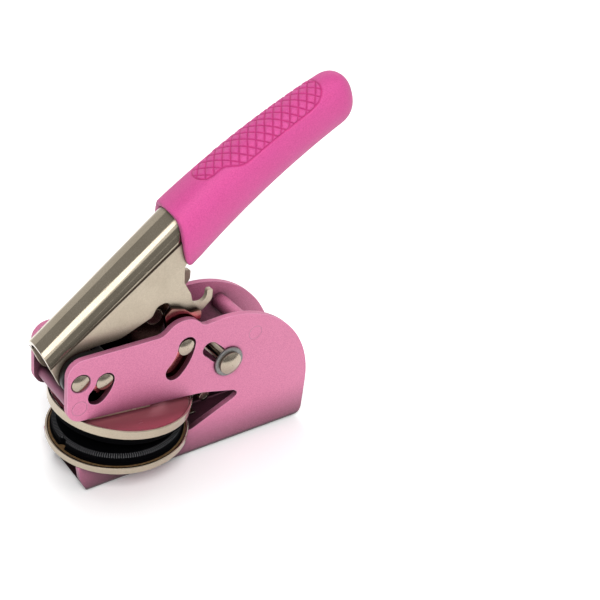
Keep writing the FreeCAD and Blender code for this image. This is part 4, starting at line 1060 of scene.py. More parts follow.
# ---------------------------------------------------------------------------------------------
# Sub-assemblies
# ---------------------------------------------------------------------------------------------
@dataclass(frozen=True)
class LeverAxes:
    """The lever's own directions at rest: along its slope and square to it, from its pivot.

    The crease lies `crease_front` above the pivot at `crease_ahead` before it, and falls by
    `crease_slope` along the lever.
    """

    pivot_x: float = -20.7
    pivot_z: float = 45.4
    slope_deg: float = 40.0
    crease_front: float = 8.3
    crease_slope: float = 0.0433
    crease_ahead: float = 1.7

    def place(self, along: np.ndarray, across: np.ndarray, above: np.ndarray) -> np.ndarray:
        """Turns places on the lever into points.

        Args:
            along: Distance along the slope.
            across: Distance across the lever.
            above: Distance square to the slope.

        Returns:
            An array with three values a point.
        """
        angle = math.radians(self.slope_deg)
        x = self.pivot_x + along * math.cos(angle) - above * math.sin(angle)
        z = self.pivot_z + along * math.sin(angle) + above * math.cos(angle)
        return np.stack([x, across + 0.0 * x, z], -1)


def dress(shape: bpy.types.Object, material: bpy.types.Material, body: Body,
          nodes: Sequence[str] = ()) -> bpy.types.Object:
    """Gives a new piece its material and body, and hides the solids that it stands for.

    Args:
        shape: The piece.
        material: Its material.
        body: The body that it rides on.
        nodes: Names of the solids that it replaces.

    Returns:
        The same piece.
    """
    shape.data.materials.clear()
    shape.data.materials.append(material)
    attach(shape, body.value)
    if nodes:
        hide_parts(*nodes)
    LOG.info("piece %s on %s: %d faces", shape.name, body.value, len(shape.data.polygons))
    return shape


@dataclass(frozen=True)
class Panel:
    """The grip's pressed pattern: a lattice of diamonds inside a rounded border groove.

    Places on it are `along`, the station on the lever, and `round_`, the distance round the skin
    from the top of the grip. The lattice's grooves are the two families of lines on which
    along / pitch plus or minus round_ / height is a whole number, counted from a first crossing.
    """

    pitch: float = 3.37
    height: float = 4.16
    first_crossing: float = 70.1
    centre_row: float = -0.42
    depth: float = 0.38
    groove_half: float = 0.26
    crown: float = 0.16
    border: Tuple[Tuple[float, float], ...] = (
        (69.15, 0.0), (69.3, 1.4), (70.0, 2.7), (71.2, 3.9), (73.2, 4.5), (76.7, 4.5),
        (77.9, 4.9), (79.2, 6.0), (80.8, 7.3), (82.3, 8.1), (83.9, 8.4), (86.8, 8.4), (95.7, 8.15),
        (104.0, 8.0), (109.1, 7.85), (111.3, 7.6), (113.6, 6.95), (115.4, 5.7), (116.7, 4.0),
        (117.3, 2.5), (117.5, 0.0))

    def depth_at(self, along: np.ndarray, round_: np.ndarray) -> Tuple[np.ndarray, np.ndarray]:
        """Works out the pattern's height and its groove mask.

        Args:
            along: Station on the lever of each point.
            round_: Signed distance round the skin from the top of each point, + being near.

        Returns:
            The height above the skin, and the share of groove from 0 to 1.
        """
        stations = np.array([p[0] for p in self.border])
        reach = np.array([p[1] for p in self.border])
        limit = np.interp(along, stations, reach, left=-9.0, right=-9.0)
        away = np.abs(round_)
        edge = self._distance_to_border(along, away)
        inside = away < limit
        u = (along - self.first_crossing) / self.pitch
        v = (round_ - self.centre_row) / self.height
        scale = 1.0 / math.hypot(1 / self.pitch, 1 / self.height)
        first = np.abs((u + v) - np.round(u + v)) * scale
        second = np.abs((u - v) - np.round(u - v)) * scale
        line = np.minimum(first, second)
        groove = np.where(inside, np.exp(-(line / self.groove_half) ** 2), 0.0)
        rim = np.exp(-(edge / (self.groove_half * 1.15)) ** 2)
        groove = np.maximum(groove * np.clip(edge / 0.25, 0, 1), rim)
        short = 1.0 - np.clip(line / (0.5 * scale), 0, 1)
        pillow = np.where(inside, np.sqrt(1.0 - short ** 2) * self.crown, 0.0)
        return pillow - self.depth * groove, groove

    def _distance_to_border(self, along: np.ndarray, away: np.ndarray) -> np.ndarray:
        """Shortest distance to the border's polyline.

        Args:
            along: Station on the lever of each point.
            away: Distance round the skin from the top of each point.

        Returns:
            The distance of each point.
        """
        points = np.array(self.border)
        starts, ends = points[:-1], points[1:]
        best = np.full(along.shape, 1e9)
        for (sx, sy), (ex, ey) in zip(starts, ends):
            dx, dy = ex - sx, ey - sy
            share = np.clip(((along - sx) * dx + (away - sy) * dy) / (dx * dx + dy * dy), 0, 1)
            best = np.minimum(best, np.hypot(along - sx - share * dx, away - sy - share * dy))
        return best


@dataclass(frozen=True)
class Grip:
    """Soft sleeve over the lever's end, with a swooping rounded mouth and a pressed pattern.

    Its rings leave the mouth near `mouth_near`, are even from `plain_from`, and lie close together
    over `pattern`.
    """

    axes: LeverAxes = LeverAxes()
    panel: Panel = Panel()
    axis_above: float = 4.56
    straight: float = 55.0
    curve_radius: float = 278.0
    end: float = 128.0
    half_height: float = 11.1
    height_taper: float = 0.026
    half_width: float = 9.5
    width_taper: float = 0.045
    nose: float = 8.0
    squareness: float = 2.4
    lip: float = 0.9
    mouth: Tuple[Tuple[float, float], ...] = (
        (-14.0, 54.0), (-6.0, 50.2), (-1.6, 48.9), (3.6, 51.0), (12.6, 56.4), (24.0, 56.4))
    mouth_window: float = 2.2
    spaced_at: float = 92.0
    mouth_near: float = 52.0
    plain_from: float = 62.0
    plain_step: float = 0.55
    pattern: Tuple[float, float] = (68.4, 118.3)
    pattern_step: float = 0.2
    nose_run: float = 1.2
    nose_rings: int = 26
    swoop_rings: int = 20
    swoop_power: float = 1.3
    hole_half_width: float = 7.62
    hole_low: float = -1.75
    hole_shoulder: float = 6.2
    bulb_centre: float = 7.0
    bulb_radius: float = 7.12
    hole_depth: float = 6.0
    hole_centre: float = 5.0
    hole_steps: Tuple[float, ...] = (0.18, 0.6)
    face_parts: Tuple[float, ...] = (0.35, 0.7, 0.93)

    def _skin(self, station: np.ndarray, turn: np.ndarray) -> np.ndarray:
        """Points of the plain sleeve as (along, across, above).

        Formula: an oval of the power `squareness` stands square to an axis that falls along a
        circle past `straight`; its half sizes shrink evenly, and round off to nothing at the nose.

        Args:
            station: Station along the axis.
            turn: Angle round the oval, a quarter turn being the top.

        Returns:
            An array with three values a point.
        """
        past = np.maximum(0.0, station - self.straight)
        above = self.axis_above - past ** 2 / (2 * self.curve_radius)
        bend = past / self.curve_radius
        nose = np.clip((station - (self.end - self.nose)) / self.nose, 0.0, 1.0)
        share = (1 - nose ** self.squareness) ** (1 / self.squareness)
        power = 2 / self.squareness
        cosine, sine = np.cos(turn), np.sin(turn)
        across = np.sign(cosine) * np.abs(cosine) ** power
        across = across * (self.half_width - self.width_taper * past) * share
        up = np.sign(sine) * np.abs(sine) ** power
        up = up * (self.half_height - self.height_taper * past) * share
        return np.stack([station + up * np.sin(bend), across, above + up * np.cos(bend)], -1)

    def _turns(self) -> np.ndarray:
        """Angles round the oval: close together over the pattern, wider apart elsewhere.

        Returns:
            The angles, spaced evenly on the skin at the station `spaced_at`.
        """
        table = np.linspace(0.0, 2 * math.pi, 20001) + math.pi / 2
        ring = self._skin(np.full(table.shape, self.spaced_at), table)
        length = np.r_[0.0, np.cumsum(np.linalg.norm(np.diff(ring, axis=0), axis=1))]
        total = length[-1]
        fine, fine_step, coarse_step = 9.4, 0.2, 0.8
        near = np.linspace(0.0, fine, int(fine / fine_step), endpoint=False)
        middle = np.linspace(fine, total - fine, int((total - 2 * fine) / coarse_step), endpoint=False)
        far = np.linspace(total - fine, total, int(fine / fine_step), endpoint=False)
        return np.interp(np.r_[near, middle, far], length, table)

    def _mouth_at(self, above: np.ndarray) -> np.ndarray:
        """Station of the mouth at a height: its corner line averaged over a short window.

        Args:
            above: Height of each point over the lever's axis.

        Returns:
            The station of each point.
        """
        heights = np.array([p[0] for p in self.mouth])
        stations = np.array([p[1] for p in self.mouth])
        offsets = np.linspace(-self.mouth_window, self.mouth_window, 21)
        return np.mean([np.interp(above + d, heights, stations) for d in offsets], axis=0)

    def _hole(self, across: np.ndarray, above: np.ndarray, centre: float) -> np.ndarray:
        """Outline of the hole for the lever, met by rays from a centre through each point.

        Args:
            across: Place across the lever of each point.
            above: Height of each point.
            centre: Height that the rays start from.

        Returns:
            An array of (across, above), one for each ray.
        """
        angle = np.arctan2(above - centre, across)
        cosine, sine = np.cos(angle), np.sin(angle)
        tiny = 1e-9
        side = self.hole_half_width / np.maximum(np.abs(cosine), tiny)
        top = np.where(sine > 0, (self.hole_shoulder - centre), (centre - self.hole_low))
        box = np.minimum(side, top / np.maximum(np.abs(sine), tiny))
        rise = self.bulb_centre - centre
        along_ray = sine * rise
        bulb = along_ray + np.sqrt(np.maximum(self.bulb_radius ** 2 - rise ** 2 + along_ray ** 2, 0))
        reach = np.maximum(box, bulb)
        return np.stack([reach * cosine, centre + reach * sine], -1)

    def _stations(self, turns: np.ndarray) -> np.ndarray:
        """Stations of the skin's rings: they leave the mouth's swoop, run evenly, and close the nose.

        Args:
            turns: Angles round the oval.

        Returns:
            An array of stations, a row for each ring.
        """
        start = np.full(len(turns), self.mouth_near)
        for _ in range(12):
            ring = self._skin(start, turns)
            start = start + self._mouth_at(ring[:, 2]) + self.lip - ring[:, 0]
        shares = np.linspace(0.0, 1.0, self.swoop_rings, endpoint=False) ** self.swoop_power
        swoop = start[None, :] + (self.plain_from - start[None, :]) * shares[:, None]
        run = self.nose * self.nose_run
        nose = self.end - run + run * np.sin(np.linspace(0.0, math.pi / 2, self.nose_rings)[1:-1])
        first, last = self.pattern
        even = np.r_[np.arange(self.plain_from, first, self.plain_step),
                     np.arange(first, last, self.pattern_step), nose]
        even = even[np.r_[True, np.diff(even) > 0.02]]
        return np.vstack([swoop, np.repeat(even[:, None], len(turns), axis=1)])

    def _patterned(self, turns: np.ndarray) -> Tuple[np.ndarray, np.ndarray]:
        """Skin with the pressed pattern: each point is lifted along the skin's own normal.

        Args:
            turns: Angles round the oval.

        Returns:
            The skin's points and their share of groove, a row for each ring.
        """
        stations = self._stations(turns)
        skin = self._skin(stations, np.broadcast_to(turns, stations.shape))
        steps = np.linalg.norm(np.roll(skin, -1, axis=1) - skin, axis=2)
        length = np.cumsum(steps, axis=1) - steps
        total = steps.sum(axis=1, keepdims=True)
        round_ = np.where(length < total / 2, -length, total - length)
        lift, groove = self.panel.depth_at(stations, round_)
        along_step = np.gradient(skin, axis=0)
        round_step = np.roll(skin, -1, axis=1) - np.roll(skin, 1, axis=1)
        normal = np.cross(round_step, along_step)
        normal /= np.maximum(np.linalg.norm(normal, axis=2, keepdims=True), 1e-9)
        centre_line = skin.mean(axis=1, keepdims=True)
        facing = np.sign(np.sum(normal * (skin - centre_line), axis=2, keepdims=True))
        return skin + normal * facing * lift[..., None], groove

    def _mouth_rings(self, rim: np.ndarray) -> List[np.ndarray]:
        """Rings from the skin over the rolled lip, a quarter circle, and down the hole.

        Args:
            rim: The skin's first ring.

        Returns:
            The rings, from the skin inwards.
        """
        hole = self._hole(rim[:, 1], rim[:, 2], self.hole_centre)
        spare = rim[:, 0] - self._mouth_at(rim[:, 2]) - self.lip
        width = np.hypot(rim[:, 1] - hole[:, 0], rim[:, 2] - hole[:, 1])
        lip_steps = self.lip * (1 - np.cos(np.linspace(0, math.pi / 2, 7)[1:]))
        shares = [step / width for step in lip_steps]
        last = shares[-1]
        shares += [np.maximum(0.0, last + (1 - last) * part) for part in self.face_parts]
        rings: List[np.ndarray] = []
        for share in shares:
            across = rim[:, 1] + (hole[:, 0] - rim[:, 1]) * share
            above = rim[:, 2] + (hole[:, 1] - rim[:, 2]) * share
            inward = np.minimum(width * share, self.lip)
            drop = self.lip - np.sqrt(np.maximum(self.lip ** 2 - (self.lip - inward) ** 2, 0))
            along = self._mouth_at(above) + drop + spare * (1 - share)
            rings.append(np.stack([along, across, above], -1))
        for depth in (*self.hole_steps, self.hole_depth):
            along = self._mouth_at(hole[:, 1]) + depth
            rings.append(np.stack([along, hole[:, 0], hole[:, 1]], -1))
        return rings

    def build(self, finish: bpy.types.Material) -> bpy.types.Object:
        """Makes the grip as one closed shell: hole, rolled lip, skin with pattern, and nose.

        Args:
            finish: Its material.

        Returns:
            The grip.
        """
        turns = self._turns()
        skin, groove = self._patterned(turns)
        rings = self._mouth_rings(skin[0])
        middle = self.hole_centre
        poles = np.array([[self._mouth_at(np.array([middle]))[0] + self.hole_depth, 0.0, middle],
                          self._skin(np.array([self.end]), np.array([0.0]))[0]])
        points, faces = capped_tube(np.concatenate([np.stack(rings[::-1]), skin]), poles)
        mask = np.zeros(len(points))
        offset = len(rings) * len(turns)
        mask[offset:offset + groove.size] = groove.ravel()
        world = self.axes.place(points[:, 0], points[:, 1], points[:, 2])
        shape = build_object("soft_grip", [(world, faces)], {"groove": mask})
        return dress(shape, finish, Body.LEVER, ["grip"])


@dataclass(frozen=True)
class ReturnSprings:
    """Two black open ring springs about the pivot, each with a tab under the lever's plate."""

    centre: Tuple[float, float] = (-18.4, 46.2)
    radius: float = 7.4
    thickness: float = 1.2
    inner_y: float = 7.75
    outer_y: float = 10.35
    foot_deg: float = 262.0
    arm_x: float = -11.6
    tab: float = 2.5
    tab_y: float = 6.05
    tab_ease: float = 0.02
    edge: float = 0.42

    def _band(self) -> Tuple[np.ndarray, np.ndarray]:
        """The ring and its arm: a rounded strip carried along an arc and a straight.

        Returns:
            Points and faces, closed at both ends.
        """
        middle = self.radius - self.thickness / 2
        angles = np.radians(np.linspace(self.foot_deg, 90.0, 61))
        arc = np.stack([self.centre[0] + middle * np.cos(angles),
                        self.centre[1] + middle * np.sin(angles)], -1)
        outward = np.stack([np.cos(angles), np.sin(angles)], -1)
        straight_x = np.linspace(self.centre[0], self.arm_x, 13)[1:]
        straight = np.stack([straight_x, np.full(12, self.centre[1] + middle)], -1)
        path = np.vstack([arc, straight])
        outward = np.vstack([outward, np.tile([0.0, 1.0], (12, 1))])
        half_t, half_w = self.thickness / 2, (self.outer_y - self.inner_y) / 2
        loop = rounded_loop([(-half_w, -half_t, self.edge), (half_w, -half_t, self.edge),
                             (half_w, half_t, self.edge), (-half_w, half_t, self.edge)], 4)
        shrink = np.ones(len(path))
        shrink[[0, -1]] = 0.86
        y = (self.inner_y + self.outer_y) / 2 + loop[None, :, 0] * shrink[:, None]
        out = loop[None, :, 1] * shrink[:, None]
        x = path[:, None, 0] + outward[:, None, 0] * out
        z = path[:, None, 1] + outward[:, None, 1] * out
        poles = np.array([[path[0, 0], y[0].mean(), path[0, 1]],
                          [path[-1, 0], y[0].mean(), path[-1, 1]]])
        return capped_tube(np.stack([x, y, z], -1), poles)

    def _tab(self) -> Tuple[np.ndarray, np.ndarray]:
        """The tab: a rounded flat strip across, from the arm to under the lever's plate.

        Returns:
            Points and faces, closed at both ends.
        """
        level = self.centre[1] + self.radius - self.thickness
        low, high = level + self.tab_ease, level + self.thickness - self.tab_ease
        front = self.arm_x - self.tab
        loop = rounded_loop([(front, low, self.edge), (self.arm_x, low, self.edge),
                             (self.arm_x, high, self.edge), (front, high, self.edge)], 4)
        stations = np.array([self.tab_y, self.tab_y + 0.15, self.outer_y - 0.5, self.outer_y - 0.3])
        shrink = np.array([0.88, 1.0, 1.0, 0.9])
        centre = loop.mean(axis=0)
        shape = centre + (loop[None] - centre) * shrink[:, None, None]
        y = np.broadcast_to(stations[:, None], shape.shape[:2])
        poles = np.array([[centre[0], stations[0], centre[1]], [centre[0], stations[-1], centre[1]]])
        return capped_tube(np.stack([shape[..., 0], y, shape[..., 1]], -1), poles)

    def build(self, finish: bpy.types.Material) -> bpy.types.Object:
        """Makes both springs, which run from the frame's front tube to the lever.

        Args:
            finish: Their material.

        Returns:
            Both springs as one piece.
        """
        shells = []
        for points, faces in (self._band(), self._tab()):
            shells.append((points, faces))
            shells.append((points * np.array([1.0, -1.0, 1.0]), faces))
        shape = build_object("ring_springs", shells)
        shape.data.materials.append(finish)
        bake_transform(shape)
        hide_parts("return_springs")
        LOG.info("piece %s between frame and lever: %d faces", shape.name, len(shape.data.polygons))
        return shape


@dataclass(frozen=True)
class LowerDie:
    """Black engraved die: a flanged disc whose top edge carries a ring of fine ticks."""

    bottom: float = 14.0
    thickness: float = 3.6
    radius: float = 21.8
    flange_radius: float = 22.4
    flange_height: float = 1.0
    edge: float = 0.3
    ticks: int = 180
    tick_steps: int = 6
    tick_depth: float = 0.14
    tick_length: float = 0.9
    tick_reach: float = 1.4
    hub: float = 0.5
    inner: float = 12.0
    chamfer: float = 0.2
    notch_deg: float = -173.0
    notch_radius: float = 1.6

    def build(self, finish: bpy.types.Material) -> bpy.types.Object:
        """Makes the die: its profile goes round, with a wave in the top edge and a notch.

        The wave's depth is a cosine of the angle times the ticks, inside the tick band only. In
        the notch, the radius is held to the notch's own circle.

        Args:
            finish: Its material.

        Returns:
            The die.
        """
        top = self.bottom + self.thickness
        flange = self.bottom + self.flange_height
        profile = np.array([
            (self.hub, self.bottom), (self.inner, self.bottom),
            (self.flange_radius - self.chamfer, self.bottom),
            (self.flange_radius, self.bottom + self.chamfer),
            (self.flange_radius, flange - self.chamfer),
            (self.flange_radius - self.chamfer, flange), (self.radius + 0.1, flange),
            (self.radius, flange + 0.12), (self.radius, top - self.tick_length),
            (self.radius, top - self.tick_length + 0.1), (self.radius, top - self.edge),
            (self.radius - 0.1, top - 0.1), (self.radius - self.edge, top),
            (self.radius - self.tick_reach, top), (self.radius - self.tick_reach - 0.1, top),
            (self.radius - 3.0, top), (self.inner, top), (self.hub, top)])
        carve = np.array([0, 0, 0, 0, 0, 0, 0, 0, 0, 1, 1, 1, 1, 1, 0, 0, 0, 0], float)
        steps = self.ticks * self.tick_steps
        turn = np.linspace(0.0, 2 * math.pi, steps, endpoint=False)[:, None]
        wave = 0.5 + 0.5 * np.cos(turn * self.ticks)
        cut = wave * carve[None, :] * self.tick_depth
        radius = profile[None, :, 0] - np.where(profile[None, :, 1] < top - 0.05, cut, 0.0)
        height = profile[None, :, 1] - np.where(profile[None, :, 1] >= top - 0.11, cut, 0.0)
        off = turn - math.radians(self.notch_deg)
        off = np.arctan2(np.sin(off), np.cos(off))
        under = self.notch_radius ** 2 - (self.flange_radius * np.sin(off)) ** 2
        held = self.flange_radius * np.cos(off) - np.sqrt(np.maximum(under, 0))
        radius = np.where((under > 0) & (np.abs(off) < 0.2), np.minimum(radius, held), radius)
        points = np.stack([radius * np.cos(turn), radius * np.sin(turn), height + 0 * turn], -1)
        count = profile.shape[0]
        flat = points.reshape(-1, 3)
        poles = np.array([[0.0, 0.0, self.bottom], [0.0, 0.0, top]])
        ring = np.arange(steps) * count
        faces = np.vstack([round_quads(steps, count, closed=False), fan(len(flat), ring),
                           fan(len(flat) + 1, ring[::-1] + count - 1)])
        # The tick mask places the die finish's painted tick highlights.
        tick = np.r_[(wave ** 2 * carve[None, :]).ravel(), 0.0, 0.0]
        shape = build_object("lower_die_face", [(np.vstack([flat, poles]), faces)], {"tick": tick})
        return dress(shape, finish, Body.FRAME, ["lower_die"])


@dataclass(frozen=True)
class FootEdges:
    """Two rolled nickel edges along the press foot's sides, each with a groove pressed in."""

    pin: Tuple[float, float] = (-6.6, 32.534)
    tilt_deg: float = 6.3
    front: float = -9.4
    rear: float = 13.6
    bottom: float = -5.5
    inner_y: float = 9.3
    outer_y: float = 10.3
    groove_y: float = 9.95
    groove_share: float = 0.45
    groove_half: float = 0.2
    height: float = 2.0
    end: float = 0.5

    def build(self, finish: bpy.types.Material) -> bpy.types.Object:
        """Makes both edges: a grooved section carried along the foot and narrowed at its ends.

        Args:
            finish: Their material.

        Returns:
            Both edges as one piece.
        """
        low, high = self.bottom, self.bottom + self.height
        middle = low + self.groove_share * self.height
        loop = rounded_loop([
            (self.inner_y, low, 0.0), (self.outer_y, low, 0.25),
            (self.outer_y, middle - self.groove_half, 0.12), (self.groove_y, middle, 0.08),
            (self.outer_y, middle + self.groove_half, 0.12),
            (self.outer_y, high, 0.3), (self.inner_y, high, 0.0)], 4)
        stations = np.array([self.front, self.front + self.end, self.rear - self.end, self.rear])
        reach = np.array([0.35, 1.0, 1.0, 0.35])
        y = self.inner_y + (loop[None, :, 0] - self.inner_y) * reach[:, None]
        height = np.broadcast_to(loop[None, :, 1], y.shape)
        along = np.broadcast_to(stations[:, None], y.shape)
        tilt = math.radians(self.tilt_deg)
        poles = np.array([[station, self.inner_y + 0.1, middle] for station in stations[[0, -1]]])
        flat, faces = capped_tube(np.stack([along, y, height], -1), poles)
        x = self.pin[0] + flat[:, 0] * math.cos(tilt) + flat[:, 2] * math.sin(tilt)
        z = self.pin[1] - flat[:, 0] * math.sin(tilt) + flat[:, 2] * math.cos(tilt)
        near = np.stack([x, -flat[:, 1], z], -1)
        far = near * np.array([1.0, -1.0, 1.0])
        shape = build_object("foot_edges", [(near, faces), (far, faces)])
        return dress(shape, finish, Body.FOOT)


@dataclass(frozen=True)
class LatchWashers:
    """Two punched steel washers with rolled edges, under the latch's heads."""

    centre: Tuple[float, float] = (34.3, 36.6)
    radius: float = 5.5
    bore: float = 2.45
    face_y: float = 12.6
    thickness: float = 0.9
    bore_edge: float = 0.12
    outer_edge: float = 0.3
    steps: int = 96

    def build(self, finish: bpy.types.Material) -> bpy.types.Object:
        """Makes both washers by turning a rounded section about the latch's axis.

        Args:
            finish: Their material.

        Returns:
            Both washers as one piece.
        """
        outside = self.face_y + self.thickness
        loop = rounded_loop([
            (self.bore, self.face_y, self.bore_edge), (self.radius, self.face_y, self.outer_edge),
            (self.radius, outside, self.outer_edge), (self.bore, outside, self.bore_edge)], 5)
        shells = []
        for side in (1.0, -1.0):
            flat = loop * np.array([1.0, side])
            shells.append(turned_ring(flat, (self.centre[0], 0.0, self.centre[1]), self.steps))
        shape = build_object("rolled_washers", shells)
        return dress(shape, finish, Body.LATCH, ["latch_washers"])


@dataclass
class SolidPieces:
    """The solids that are shown as they are, each with its finish."""

    finishes: Finishes
    nodes: Dict[str, bpy.types.Object] = field(default_factory=dict)
    polished: Tuple[str, ...] = ("pivot_pin", "guide_pins", "crank_pin", "foot_pin", "latch_pin",
                                 "latch_cap")
    pressed: Tuple[str, ...] = ("upper_pan", "lower_pan")
    # Parts inside, given the darkened nickel of painted shade.
    shaded_inner: Tuple[str, ...] = ("ram_yoke", "clip_springs", "press_foot")

    def dress(self) -> None:
        """Gives each solid's material slots their finish."""
        for name, shape in self.nodes.items():
            for entry in shape.material_slots:
                entry.material = self.finishes.of_slot(entry.material.name.split(".")[0])
            LOG.info("solid %s dressed", name)
        for name, finish in (("lever", self.finishes.lever), ("front_spacer", self.finishes.shaded_tubes)):
            for entry in self.nodes[name].material_slots:
                entry.material = finish
        groups = ((self.polished, self.finishes.pins), (self.pressed, self.finishes.pans),
                  (self.shaded_inner, self.finishes.ram))
        for names, finish in groups:
            for name in names:
                for entry in self.nodes[name].material_slots:
                    entry.material = finish


# ---------------------------------------------------------------------------------------------
# Studio
# ---------------------------------------------------------------------------------------------
@dataclass(frozen=True)
class Lamp:
    """A square soft lamp that points at the embosser."""

    name: str
    place: Point
    size: float
    power: float

    def build(self, aim: Vector) -> None:
        """Adds the lamp; reflections show the stage cards in its place.

        Args:
            aim: The point that it is turned to.
        """
        light = bpy.data.lights.new(self.name, "AREA")
        light.shape = "SQUARE"
        light.size = self.size
        light.energy = self.power
        lamp = bpy.data.objects.new(self.name, light)
        bpy.context.scene.collection.objects.link(lamp)
        lamp.location = self.place
        lamp.rotation_mode = "QUATERNION"
        lamp.rotation_quaternion = (Vector(self.place) - aim).to_track_quat("Z", "Y")
        lamp.visible_glossy = False


@dataclass(frozen=True)
class Flag:
    """A plain card that only shows in reflections, at a bearing from the embosser.

    The bearing's azimuth turns from the front, -Y, towards the rear end, +X.
    """

    name: str
    azimuth: float
    elevation: float
    distance: float
    width: float
    height: float
    grey: float

    def build(self, aim: Vector) -> None:
        """Adds the card.

        Args:
            aim: The point that it faces.
        """
        turn, rise = math.radians(self.azimuth), math.radians(self.elevation)
        bearing = Vector((math.sin(turn) * math.cos(rise), -math.cos(turn) * math.cos(rise),
                          math.sin(rise)))
        centre = aim + bearing * self.distance
        across = bearing.cross(Vector((0.0, 0.0, 1.0))).normalized()
        upward = across.cross(bearing)
        signs = ((-1, -1), (1, -1), (1, 1), (-1, 1))
        corners = np.array([centre + across * (i * self.width / 2) + upward * (j * self.height / 2)
                            for i, j in signs]) / MM
        add_reflector(self.name, corners, self.grey)


@dataclass(frozen=True)
class FloorFlag:
    """A plain card that lies on the floor and only shows in reflections."""

    name: str
    low: Tuple[float, float]
    high: Tuple[float, float]
    grey: float

    def build(self) -> None:
        """Adds the card, a hair above the floor."""
        (x0, y0), (x1, y1) = self.low, self.high
        corners = np.array([(x0, y0, 0.5), (x1, y0, 0.5), (x1, y1, 0.5), (x0, y1, 0.5)])
        add_reflector(self.name, corners, self.grey)


def add_reflector(name: str, corners: np.ndarray, grey: float) -> None:
    """Adds a stage card of one grey that nothing but a reflection shows.

    Args:
        name: Name of the card.
        corners: Its four corners in millimetres.
        grey: Its brightness, 1 being white.
    """
    card = build_object(name, [(corners, np.array([[0, 1, 2, 3]]))], closed=False)
    material = bpy.data.materials.new(name)
    sheet = cleared_sheet(material)
    glow = sheet.add("ShaderNodeEmission")
    glow.inputs["Strength"].default_value = grey
    output = sheet.add("ShaderNodeOutputMaterial")
    sheet.feed(output.inputs["Surface"], glow.outputs["Emission"])
    card.data.materials.append(material)
    card.visible_camera = False
    card.visible_diffuse = False
    card.visible_shadow = False
    card.visible_transmission = False


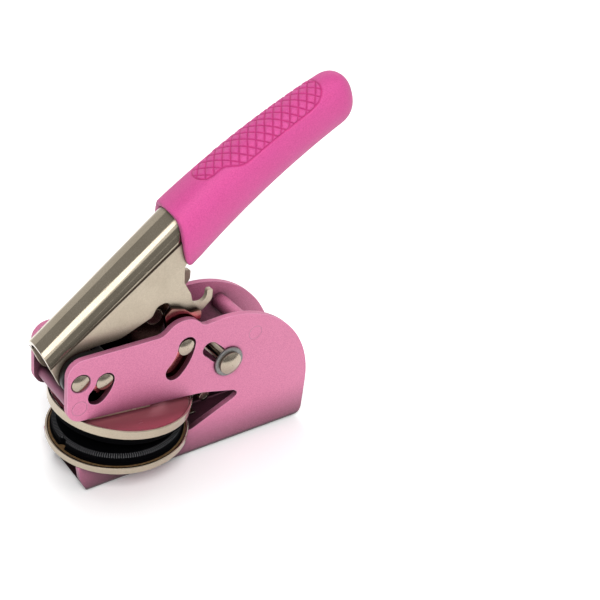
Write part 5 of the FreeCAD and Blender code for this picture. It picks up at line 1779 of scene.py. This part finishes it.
@dataclass(frozen=True)
class Studio:
    """Plain pale floor, soft light, and the camera."""

    eye: Point = (-0.14925, -0.25221, 0.24681)
    right: Point = (0.791, -0.59922, 0.12351)
    up: Point = (0.23129, 0.47976, 0.84637)
    back: Point = (-0.56642, -0.64091, 0.51808)
    lens: float = 65.0
    floor_half: float = 6.0
    aim: Point = (0.01, 0.0, 0.07)
    lamps: Tuple[Lamp, ...] = (
        Lamp("key", (-0.62, -0.98, 1.28), 0.7, 25.0),
        Lamp("fill", (0.7, -1.4, 0.40), 0.9, 4.5),
        Lamp("rear", (0.3, 1.4, 0.9), 0.9, 11.0),
    )
    flags: Tuple[Flag, ...] = (
        Flag("softbox", -40.0, 34.0, 1.3, 0.70, 0.42, 2.6),
        Flag("left_flag", -98.0, 40.0, 1.4, 2.0, 2.2, 0.34),
        Flag("left_rear_flag", -158.0, 24.0, 1.5, 1.5, 1.9, 0.68),
        Flag("rear_flag", 172.0, 10.0, 1.7, 1.6, 1.3, 0.8),
        Flag("front_flag", -5.0, 6.0, 1.45, 0.95, 0.72, 0.27),
        Flag("front_right_flag", 38.0, 4.0, 1.50, 1.55, 0.66, 0.50),
    )
    floor_flags: Tuple[FloorFlag, ...] = (
        FloorFlag("front_floor_flag", (-260.0, -1200.0), (1100.0, -160.0), 0.24),
    )
    world_strength: float = 0.13
    floor_glow: float = 0.50
    floor_albedo: float = 0.95
    white_from: float = 0.25
    white_to: float = 1.0
    # Reach and strength of the painted contact shadow in the floor's glow.
    painted_shadow_reach: float = 0.05
    painted_shadow_power: float = 2.4

    def build(self) -> None:
        """Makes the world, floor, lamps, flags and camera."""
        scene = bpy.context.scene
        scene.view_settings.view_transform = "Standard"
        self._world(scene)
        self._floor()
        for lamp in self.lamps:
            lamp.build(Vector(self.aim))
        for flag in self.flags:
            flag.build(Vector(self.aim))
        for card in self.floor_flags:
            card.build()
        camera = bpy.data.cameras.new("camera")
        camera.lens = self.lens
        camera.sensor_width = 36.0
        camera.clip_start = 0.01
        camera.clip_end = 20.0
        eye = bpy.data.objects.new("camera", camera)
        scene.collection.objects.link(eye)
        columns = Matrix((self.right, self.up, self.back)).transposed().to_4x4()
        eye.matrix_world = Matrix.Translation(Vector(self.eye)) @ columns
        scene.camera = eye

    def _world(self, scene: bpy.types.Scene) -> None:
        """White where the camera, metal or glass sees it, softer as a light.

        Args:
            scene: The scene that it lights.
        """
        world = bpy.data.worlds.new("studio")
        sheet = cleared_sheet(world)
        path = sheet.add("ShaderNodeLightPath")
        seen = sheet.math("MAXIMUM", path.outputs["Is Camera Ray"], path.outputs["Is Glossy Ray"])
        seen = sheet.math("MAXIMUM", seen, path.outputs["Is Transmission Ray"])
        light = sheet.add("ShaderNodeBackground")
        light.inputs["Strength"].default_value = self.world_strength
        white = sheet.add("ShaderNodeBackground")
        mix = sheet.add("ShaderNodeMixShader")
        sheet.feed(mix.inputs[0], seen)
        sheet.feed(mix.inputs[1], light.outputs[0])
        sheet.feed(mix.inputs[2], white.outputs[0])
        for node in (light, white):
            node.inputs["Color"].default_value = (1.0, 1.0, 1.0, 1.0)
        output = sheet.add("ShaderNodeOutputWorld")
        sheet.feed(output.inputs["Surface"], mix.outputs[0])
        scene.world = world

    def _floor(self) -> None:
        """A wide pale floor that keeps the lamps' shadow plus a painted contact shadow, and turns plain
        white far away.
        """
        half = self.floor_half / MM
        signs = np.array([(-1, -1, 0), (1, -1, 0), (1, 1, 0), (-1, 1, 0)])
        points = signs * half
        floor = build_object("floor", [(points, np.array([[0, 1, 2, 3]]))], closed=False)
        material, sheet, shader = new_material("pale_floor")
        shader.inputs["Roughness"].default_value = 0.9
        shader.inputs["Specular IOR Level"].default_value = 0.0
        place = sheet.place()
        reach = sheet.vector("LENGTH", place).outputs["Value"]
        far = sheet.spread(reach, self.white_from, self.white_to, smooth=True)
        base = sheet.mix(far, (*[self.floor_albedo] * 3, 1.0), (0.0, 0.0, 0.0, 1.0))
        sheet.feed(shader.inputs["Base Color"], base)
        path = sheet.add("ShaderNodeLightPath")
        seen = sheet.math("MAXIMUM", path.outputs["Is Camera Ray"], path.outputs["Is Glossy Ray"])
        glow = sheet.add("ShaderNodeEmission")
        # Painted contact shadow: the glow dims where the embosser shuts the floor in.
        close = sheet.add("ShaderNodeAmbientOcclusion", samples=8)
        close.inputs["Distance"].default_value = self.painted_shadow_reach
        openness_for_painted_shade = sheet.math("POWER", close.outputs["AO"], self.painted_shadow_power)
        near = sheet.math("MULTIPLY", sheet.math("MULTIPLY", seen, openness_for_painted_shade), self.floor_glow)
        rest = sheet.math("MULTIPLY", seen, far)
        sheet.feed(glow.inputs["Strength"], sheet.math("MULTIPLY_ADD", rest, 1.0 - self.floor_glow, near))
        join = sheet.add("ShaderNodeAddShader")
        sheet.feed(join.inputs[0], shader.outputs["BSDF"])
        sheet.feed(join.inputs[1], glow.outputs["Emission"])
        output = next(n for n in material.node_tree.nodes if n.type == "OUTPUT_MATERIAL")
        sheet.feed(output.inputs["Surface"], join.outputs[0])
        floor.data.materials.append(material)


def main() -> None:
    """Builds the embosser's finishes, pieces and studio in order."""
    logging.basicConfig(level=logging.INFO, format="%(message)s")
    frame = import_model()
    finishes = Finishes()
    SolidPieces(finishes, frame["nodes"]).dress()
    Grip().build(finishes.grip)
    ReturnSprings().build(finishes.spring)
    LowerDie().build(finishes.die)
    LatchWashers().build(finishes.washer)
    FootEdges().build(finishes.foot)
    Studio().build()


if __name__ == "__main__":
    main()
